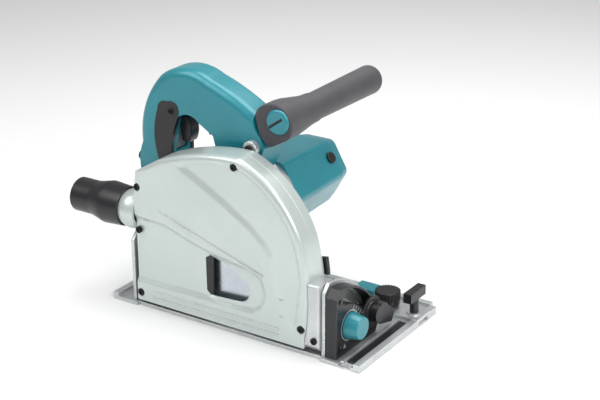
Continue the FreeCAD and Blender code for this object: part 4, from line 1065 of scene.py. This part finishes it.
    def build(self) -> None:
        """Make the cover, its raised lines in a lighter colour as painted highlight, a black strip as
        painted shadow in the window, and its screws.
        """
        shell = self.shell()
        bores = [Blank.turned([(-0.004, 0.0), (-0.004, self.counterbore),
                               (self.bore_depth, self.counterbore), (self.bore_depth, 0.0)],
                              Vector((0, 1, 0)), (x, self.low.y, z), 36) for x, z in self.screws]
        mouth = Blank.block((self.low.x + 0.0028, self.low.y + self.wall, self.low.z - 0.002),
                            (self.high.x - 0.0085, self.high.y + 0.001, self.low.z + 0.004))
        shell.cut(*bores, mouth)
        shell.piece("blade_cover_shell", "head", Surface.COVER, "blade_cover", smooth=40.0)
        # The raised lines are real relief; their lighter cast colour is a painted highlight along them.
        marks = self.bars()
        marks[0].add(*marks[1:]).piece("blade_cover_lines_painted_highlight", "head", Surface.CAST)
        # Black strip inside the window's left edge: painted shadow of the window wall.
        rear, front, low, high = self.shade_strip
        shade_strip = Blank.block((rear, self.high.y - 0.0145, low), (front, self.high.y - 0.0125, high))
        shade_strip.soften(0.0006).piece("window_painted_shadow", "head", Surface.BLACK)
        rule = screw_pattern(Surface.DARK)
        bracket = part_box("front_bracket")
        heads = [(x, self.low.y + 0.0011, z) for x, z in self.screws]
        ahead, z = self.bracket_screw
        heads.append((self.high.x + ahead, bracket[0].y - 0.0004, z))
        made = rule.grow(points_mesh(heads), Head=0.0036, Height=0.0020, Socket=0.0019)
        made.piece("cover_screw_heads", "head", Surface.DARK, "cover_screws")


@dataclass
class CaseFittings:
    """Inner half of the case, brackets, dust outlet, nozzle and depth stop."""

    edge: float = 0.0007
    outlet_wall: float = 0.0025
    straight: float = 0.36
    ball: tuple[float, float] = (0.42, 0.57)
    ball_steps: int = 8
    swell: float = 0.0024

    def build(self) -> None:
        """Dress the case's other pieces."""
        soft_copies(Surface.COVER, 0.0012, "blade_case")
        soft_copies(Surface.CAST, 0.0018, "front_bracket")
        soft_copies(Surface.CAST, self.edge, "rear_bracket")
        self.outlet()
        soft_copies(Surface.BLACK, self.edge, "depth_stop")
        soft_copies(Surface.BRIGHT, 0.0003, "pivot_pin", "depth_scale")
        dress(Surface.DARK, "plunge_spring")
        soft_copies(Surface.BLACK, 0.0006, "dust_nozzle")

    def outlet(self) -> None:
        """Dust outlet that swells to a ball where it leaves the case."""
        low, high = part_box("dust_outlet")
        middle = (low + high) / 2
        radius, length = (high.z - low.z) / 2, high.x - low.x
        bore = radius - self.outlet_wall
        bulge = [(0.0, bore), (0.0, radius), (length * self.straight, radius)]
        start, span = self.ball
        for k in range(self.ball_steps + 1):
            share = k / self.ball_steps
            bulge.append((length * (start + span * share),
                          radius + self.swell * math.sin(math.pi * share)))
        bulge += [(length, radius), (length, bore)]
        tube = Blank.turned(bulge, Vector((1, 0, 0)), (low.x, middle.y, middle.z), 64)
        tube.piece("outlet_ball", body_of("dust_outlet"), Surface.COVER, "dust_outlet", smooth=50.0)


# ------------------------------------------------------------------ blade drive
@dataclass
class BladeDrive:
    """Blade, flanges, spindle, gears and the motor's inner pieces."""

    def build(self) -> None:
        """Dress the drive."""
        soft_copies(Surface.BLADE, 0.00025, "saw_blade")
        soft_copies(Surface.DARK, 0.0005, "outer_flange", "inner_flange", "blade_bolt")
        dress(Surface.BRIGHT, "spindle", "drive_gear", "armature_shaft", "spindle_bearings",
              "armature_bearings", "bearing_plate")
        dress(Surface.COPPER, "commutator")
        dress(Surface.DARK, "armature_core", "stator", "carbon_brushes")
        dress(Surface.GREY, "cooling_fan", "switch_body")


# ------------------------------------------------------------------ base
@dataclass
class BaseGroup:
    """Cast base with its quadrants, bevel cover and rail fittings."""

    edge: float = 0.0008
    ridge: float = 0.0009
    ridge_count: int = 28
    ridge_sink: float = 0.0003
    ridge_drop: float = 0.0042
    knob_band: float = 0.0085
    stop_ridge: float = 0.0011
    stop_count: int = 24
    stop_sink: float = 0.0016
    stop_band: float = 0.0125
    stop_lean: float = -0.20
    stop_reach: float = 0.0095
    halo: tuple[Point, ...] = ((-0.0004, 0.0006), (-0.0004, 0.0016), (0.0002, 0.0016),
                               (0.0002, 0.0006))
    hub: Point = (-0.0123, 0.0300)
    hub_profile: tuple[Point, ...] = (
        (-0.001, 0.0), (-0.001, 0.0165), (0.0008, 0.0165), (0.0014, 0.0150),
        (0.0014, 0.0118), (0.0026, 0.0112), (0.0030, 0.0100), (0.0030, 0.0))
    tick_count: int = 10
    tick_start: float = 14.0
    tick_sweep: float = 48.0
    tick: float = 0.0030
    tick_half: float = 0.0003
    long_every: int = 3
    long_share: float = 1.8
    mark_sink: float = 0.0003
    mark_rise: float = 0.00015
    tick_radius: float = 0.0560
    tilt_y: float = -0.0700
    arrow: Point = (-0.0610, 0.0120)
    arrow_head: tuple[Point, ...] = ((0.0, 0.004), (-0.0028, -0.001), (0.0028, -0.001))
    rib_z: float = 0.0045
    rib_count: int = 9
    rib_pitch: float = 0.0105
    rib_inset: float = 0.011
    rib_start: float = -0.058
    rib_size: tuple[float, float, float] = (0.0105, 0.0014, 0.0020)

    def build(self) -> None:
        """Make and dress the base's pieces."""
        soft_copies(Surface.CAST, self.edge, "base_plate", "front_quadrant", "rear_quadrant")
        soft_copies(Surface.BLACK, 0.0005, "front_insert")
        soft_copies(Surface.BLACK, 0.0030, "bevel_cover")
        soft_copies(Surface.DARK, 0.0004, "bevel_cover_screws")
        soft_copies(Surface.BLACK, 0.0012, "rail_knob_front", "rail_knob_rear", "wing_screw_front",
                    "wing_screw_rear", "clamp_lever_front", "clamp_lever_rear")
        soft_copies(Surface.TEAL, 0.0010, "bevel_stop_knob", "anti_tip_lever")
        self.knob_ridges()
        self.cover_face()
        self.front_ribs()

    def knob_ridges(self) -> None:
        """Stand ridges round the knobs."""
        dark, teal = ring_pattern(Surface.BLACK), ring_pattern(Surface.TEAL)
        for name in ("rail_knob_front", "rail_knob_rear"):
            low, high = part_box(name)
            middle = (low + high) / 2
            radius = (high.x - low.x) / 2
            made = dark.grow(points_mesh([]), Count=self.ridge_count, Circle=radius - self.ridge_sink,
                             Ridge=self.ridge, Length=self.knob_band)
            height = high.z - self.knob_band * 0.5 - self.ridge_drop
            made.move(Matrix.Translation((middle.x, middle.y, height)))
            made.piece(name + "_ridges", body_of(name), Surface.BLACK)
        low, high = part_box("bevel_stop_knob")
        middle = (low + high) / 2
        radius = (high.y - low.y) / 2
        made = teal.grow(points_mesh([]), Count=self.stop_count, Circle=radius - self.stop_sink,
                         Ridge=self.stop_ridge, Length=self.stop_band, Lean=self.stop_lean)
        turn = Matrix.Rotation(math.pi / 2, 4, "Y")
        made.move(Matrix.Translation((low.x + self.stop_reach, middle.y, middle.z)) @ turn)
        made.piece("stop_knob_ridges", body_of("bevel_stop_knob"), Surface.TEAL)

    def cover_face(self) -> None:
        """Hub steps, scale ticks and an arrow on the bevel cover's face."""
        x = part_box("bevel_cover")[1].x
        hub = (x, self.hub[0], self.hub[1])
        rings = Blank.turned(self.hub_profile, Vector((1, 0, 0)), hub, 48)
        rings.piece("bevel_hub_steps", "root", Surface.BLACK)
        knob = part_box("bevel_stop_knob")
        middle = (knob[0] + knob[1]) / 2
        radius = (knob[1].y - knob[0].y) / 2
        halo = Blank.turned([(along, radius + out) for along, out in self.halo],
                            Vector((1, 0, 0)), (x, middle.y, middle.z), 64)
        halo.piece("stop_knob_ring", "root", Surface.CAST)
        ticks = []
        for k in range(self.tick_count):
            angle = math.radians(self.tick_start + self.tick_sweep * k / (self.tick_count - 1))
            long = self.tick if k % self.long_every else self.tick * self.long_share
            inner, outer = self.tick_radius - long, self.tick_radius
            centre = Vector((self.tilt_y, 0.0))
            way = Vector((math.cos(angle), math.sin(angle)))
            outline = bar_corners(centre + way * inner, centre + way * outer, self.tick_half)
            ticks.append(Blank.prism(Side.FRONT, outline, x - self.mark_sink, x + self.mark_rise))
        y, z = self.arrow
        arrow = rounded([(y + across, z + up) for across, up in self.arrow_head], self.tick_half, 3)
        ticks.append(Blank.prism(Side.FRONT, arrow, x - self.mark_sink, x + self.mark_rise))
        ticks[0].add(*ticks[1:]).piece("bevel_marks", "root", Surface.CAST)

    def front_ribs(self) -> None:
        """Cast ribs across the front border of the base."""
        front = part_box("base_plate")[1].x
        rule = row_pattern(Surface.CAST)
        ribs = rule.grow(points_mesh([]), Count=self.rib_count, Pitch=(0.0, self.rib_pitch, 0.0),
                         First=(front - self.rib_inset, self.rib_start, self.rib_z), Bar=self.rib_size)
        ribs.soften(0.0004).piece("front_ribs", "root", Surface.CAST)


# ------------------------------------------------------------------ motor and handle
@dataclass
class MotorGroup:
    """Gear housing, motor housing and what sits on them."""

    edge: float = 0.0012
    button_edge: float = 0.0006
    button_rim: float = 0.0010
    vent_count: int = 7
    vent_pitch: float = 0.0055
    vent_drop: float = 0.0165
    vent_sink: float = 0.0004
    vent_size: tuple[float, float, float] = (0.030, 0.0012, 0.0024)

    def build(self) -> None:
        """Make and dress the motor unit's housings."""
        soft_copies(Surface.TEAL, self.edge, "motor_housing", "motor_end_cover")
        soft_copies(Surface.CAST, self.edge, "gear_housing")
        soft_copies(Surface.BLACK, 0.0006, "brush_caps", "speed_dial")
        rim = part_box("spindle_lock_button")[1].x - self.button_rim
        button = Blank.of("spindle_lock_button").soften(self.button_edge, lambda spot: spot.x > rim)
        button.piece("lock_button", body_of("spindle_lock_button"), Surface.BLACK,
                     "spindle_lock_button")
        self.vents()

    def vents(self) -> None:
        """Dark bars in the motor's end cover: painted shade standing in for its air slots."""
        low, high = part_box("motor_end_cover")
        rule = row_pattern(Surface.DARK)
        middle = (low + high) / 2
        # Dark bars stand in for the shade inside the air slots.
        shade_bars = rule.grow(points_mesh([]), Count=self.vent_count, Pitch=(0.0, 0.0, self.vent_pitch),
                          First=(middle.x, high.y - self.vent_sink, middle.z - self.vent_drop),
                          Bar=self.vent_size)
        shade_bars.soften(0.0004).piece("end_vents_painted_shade", body_of("motor_end_cover"), Surface.DARK)


@dataclass
class HandleGroup:
    """Rear handle, front grip and controls."""

    edge: float = 0.0016
    screw: Point = (-0.0960, 0.2045)
    tip: Point = (0.0215, 0.1880)
    neck_share: float = 0.66
    rim: tuple[Point, ...] = ((0.0022, 0.0), (0.0006, 0.0008), (0.0, 0.0024))
    neck: tuple[Point, ...] = ((0.0, 0.30), (0.10, 0.42), (0.45, 0.60), (0.80, 0.76),
                               (0.97, 0.90), (1.0, 1.0))
    pad: tuple[Point, ...] = (
        (-0.1060, 0.1400), (-0.1125, 0.1600), (-0.1120, 0.1850), (-0.1080, 0.2060),
        (-0.0985, 0.2160), (-0.0880, 0.2130), (-0.0860, 0.2030), (-0.0925, 0.1880),
        (-0.0970, 0.1700), (-0.0970, 0.1520), (-0.0960, 0.1400))
    slot_angle: float = 0.62
    slot_half: float = 0.0014
    slot_ends: tuple[float, float] = (0.9, 0.62)
    slot_floor: float = 0.0020
    slot_shade_depths: tuple[float, float] = (0.0012, 0.0024)
    dome: tuple[Point, ...] = ((0.0, 0.0), (0.0, 0.80), (0.0003, 0.90), (0.0010, 0.97), (0.0018, 1.0))
    seat: tuple[Point, ...] = ((-0.0002, 0.0), (-0.0002, 0.0048), (0.0016, 0.0052), (0.0016, 0.0))
    pad_corner: float = 0.009
    thumb_count: int = 5
    thumb_pitch: float = 0.0034
    thumb_start: float = 0.005
    thumb_sink: float = 0.0003
    thumb_size: tuple[float, float, float] = (0.0012, 0.5, 0.0014)

    def build(self) -> None:
        """Make and dress the handle's pieces."""
        soft_copies(Surface.TEAL, self.edge, "handle_right", "handle_left")
        soft_copies(Surface.GRIP, 0.0010, "front_grip")
        self.pads()
        self.collar()
        soft_copies(Surface.TEAL, 0.0010, "lock_off_lever")
        self.cap()
        soft_copies(Surface.BLACK, 0.0010, "trigger", "cord_gland")
        soft_copies(Surface.CAST, 0.0010, "handle_lug")
        soft_copies(Surface.DARK, 0.0004, "lug_screw", "handle_screws")
        self.inlay_screw()
        self.thumb_ribs()

    def inlay_screw(self) -> None:
        """Recessed screw in the handle's side pad."""
        x, z = self.screw
        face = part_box("palm_pad_right")[0].y
        seat = Blank.turned(self.seat, Vector((0, 1, 0)), (x, face, z), 32)
        seat.piece("inlay_seat", body_of("palm_pad_right"), Surface.BLACK)
        rule = screw_pattern(Surface.DARK)
        head = rule.grow(points_mesh([(x, face - 0.0004, z)]), Head=0.0030, Height=0.0012,
                         Socket=0.0015)
        head.piece("inlay_screw_head", body_of("palm_pad_right"), Surface.DARK)

    def collar(self) -> None:
        """Grip's collar: a shield-shaped face that runs back into the round grip."""
        low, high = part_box("grip_collar")
        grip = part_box("front_grip")
        centre = Vector(((grip[0].x + grip[1].x) / 2, (grip[0].z + grip[1].z) / 2))
        tip = Vector(self.tip)
        shield = [(low.x + 0.0010, centre.y + 0.008), (low.x + 0.0075, centre.y - 0.017), tuple(tip),
                  (centre.x + 0.0150, centre.y - 0.013), (centre.x + 0.0160, centre.y + 0.006),
                  (centre.x + 0.0040, centre.y + 0.0185), (centre.x - 0.0140, centre.y + 0.0185)]
        face = rounded(shield, (0.010, 0.006, 0.0022, 0.008, 0.008, 0.009, 0.009), 7)
        ring = resampled(face, 0.0018)
        angles = [math.atan2(p[1] - centre.y, p[0] - centre.x) for p in ring]
        neck = (high.x - low.x) / 2 * self.neck_share
        rows = []
        stations = [(0.0, inset, depth) for inset, depth in self.rim]
        stations += [(share, 0.0, (high.y - low.y) * place) for share, place in self.neck]
        for share, inset, reach in stations:
            depth = low.y + reach
            start = offset(ring, inset) if inset else ring
            row = []
            for (x, z), angle in zip(start, angles):
                round_x, round_z = centre.x + neck * math.cos(angle), centre.y + neck * math.sin(angle)
                row.append(Vector((x + (round_x - x) * share, depth, z + (round_z - z) * share)))
            rows.append(row)
        body = Blank.lofted(rows)
        body.piece("grip_collar_shell", body_of("grip_collar"), Surface.GRIP, "grip_collar", smooth=48.0)

    def pads(self) -> None:
        """Drop-shaped soft pads let into the handle's sides."""
        outline = rounded(self.pad, self.pad_corner)
        for name in ("palm_pad_right", "palm_pad_left"):
            low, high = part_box(name)
            pad = Blank.of(name).join(Blank.prism(Side.SIDE, outline, low.y, high.y))
            pad.soften(0.0006).piece(name + "_drop", body_of(name), Surface.BLACK, name)

    def cap(self) -> None:
        """Teal cap on the grip's axis, domed, with a coin slot whose floor is a black bed of painted
        shade.
        """
        low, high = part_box("grip_screw_cap")
        middle = (low + high) / 2
        radius = (high.x - low.x) / 2
        depth = high.y - low.y
        profile = [(along, radius * share) for along, share in self.dome]
        disc = Blank.turned(profile + [(depth, radius), (depth, 0.0)], Vector((0, 1, 0)),
                            (middle.x, low.y, middle.z), 64)
        way = Vector((math.cos(self.slot_angle), math.sin(self.slot_angle)))
        centre = Vector((middle.x, middle.z))
        back, ahead = self.slot_ends
        slot = rounded(bar_corners(centre - way * radius * back, centre + way * radius * ahead,
                                   self.slot_half), self.slot_half, 5)
        disc.cut(Blank.prism(Side.SIDE, slot, low.y - 0.001, low.y + self.slot_floor))
        disc.piece("grip_cap", body_of("grip_screw_cap"), Surface.TEAL, "grip_screw_cap")
        # Black bed inside the coin slot: painted shade of the slot's floor.
        slot_shade = Blank.prism(Side.SIDE, slot, *(low.y + reach for reach in self.slot_shade_depths))
        slot_shade.piece("grip_cap_slot_painted_shade", body_of("grip_screw_cap"), Surface.BLACK)

    def thumb_ribs(self) -> None:
        """Grip ribs on the lock-off lever."""
        low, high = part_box("lock_off_lever")
        rule = row_pattern(Surface.TEAL)
        thick, share, tall = self.thumb_size
        ribs = rule.grow(points_mesh([]), Count=self.thumb_count, Pitch=(self.thumb_pitch, 0.0, 0.0),
                         First=(low.x + self.thumb_start, (low.y + high.y) / 2,
                                low.z + self.thumb_sink),
                         Bar=(thick, (high.y - low.y) * share, tall))
        ribs.soften(0.0003).piece("lock_off_ribs", body_of("lock_off_lever"), Surface.TEAL)


# ------------------------------------------------------------------ studio
@dataclass
class Studio:
    """Floor, soft lights and camera."""

    camera_place: tuple[float, float, float] = (0.7673, -1.1154, 0.6634)
    ahead: tuple[float, float, float] = (-0.5050, 0.7776, -0.3746)
    lens: float = 0.087
    shift: float = -1.0 / 60.0
    sky: float = 0.40
    lamps: tuple[tuple[str, tuple[float, float, float], float, float], ...] = (
        ("key", (-0.55, -0.75, 1.15), 0.9, 8.0), ("top", (0.15, 0.35, 1.30), 1.1, 14.0),
        ("side", (1.10, -0.45, 0.95), 0.8, 11.0))

    def build(self) -> None:
        """Set the floor, the lights and the camera."""
        self.floor()
        for lamp in self.lamps:
            self.light(*lamp)
        world = bpy.data.worlds.new("soft_room")
        world.use_nodes = True
        world.node_tree.nodes["Background"].inputs["Color"].default_value = (1.0, 1.0, 1.0, 1.0)
        world.node_tree.nodes["Background"].inputs["Strength"].default_value = self.sky
        bpy.context.scene.world = world
        data = bpy.data.cameras.new("view")
        data.lens = self.lens * 1000.0
        data.shift_x = self.shift
        data.clip_end = 10.0
        camera = bpy.data.objects.new("view", data)
        camera.location = self.camera_place
        camera.rotation_mode = "QUATERNION"
        camera.rotation_quaternion = Vector(self.ahead).to_track_quat("-Z", "Y")
        bpy.context.scene.collection.objects.link(camera)
        bpy.context.scene.camera = camera

    def floor(self) -> None:
        """Lay a pale floor."""
        data = bpy.data.meshes.new("floor")
        half = 4.0
        data.from_pydata([(-half, -half, 0), (half, -half, 0), (half, half, 0), (-half, half, 0)], [],
                         [(0, 1, 2, 3)])
        shader = Shader("floor_paint")
        patches = shader.noise(3.0, 3.0)
        shader.set(Base_Color=shader.tint(patches, (0.86, 0.86, 0.86), (0.83, 0.83, 0.83)),
                   Roughness=0.85)
        data.materials.append(shader.material)
        thing = bpy.data.objects.new("floor", data)
        bpy.context.scene.collection.objects.link(thing)

    def light(self, name: str, place: Sequence[float], size: float, power: float) -> None:
        """Hang a square lamp that faces the machine."""
        data = bpy.data.lights.new(name, "AREA")
        data.size = size
        data.energy = power
        thing = bpy.data.objects.new(name, data)
        thing.location = place
        aim = Vector((0.0, 0.0, 0.1)) - Vector(place)
        thing.rotation_mode = "QUATERNION"
        thing.rotation_quaternion = aim.to_track_quat("-Z", "Y")
        bpy.context.scene.collection.objects.link(thing)


def main() -> None:
    """Build every group in order."""
    logging.basicConfig(level=logging.INFO, format="%(name)s: %(message)s")
    bpy.context.scene.view_settings.view_transform = "Standard"
    for group in (BaseGroup(), BladeCover(), CaseFittings(), BladeDrive(), MotorGroup(),
                  HandleGroup(), Studio()):
        LOG.info("building %s", type(group).__name__)
        group.build()


if __name__ == "__main__":
    main()
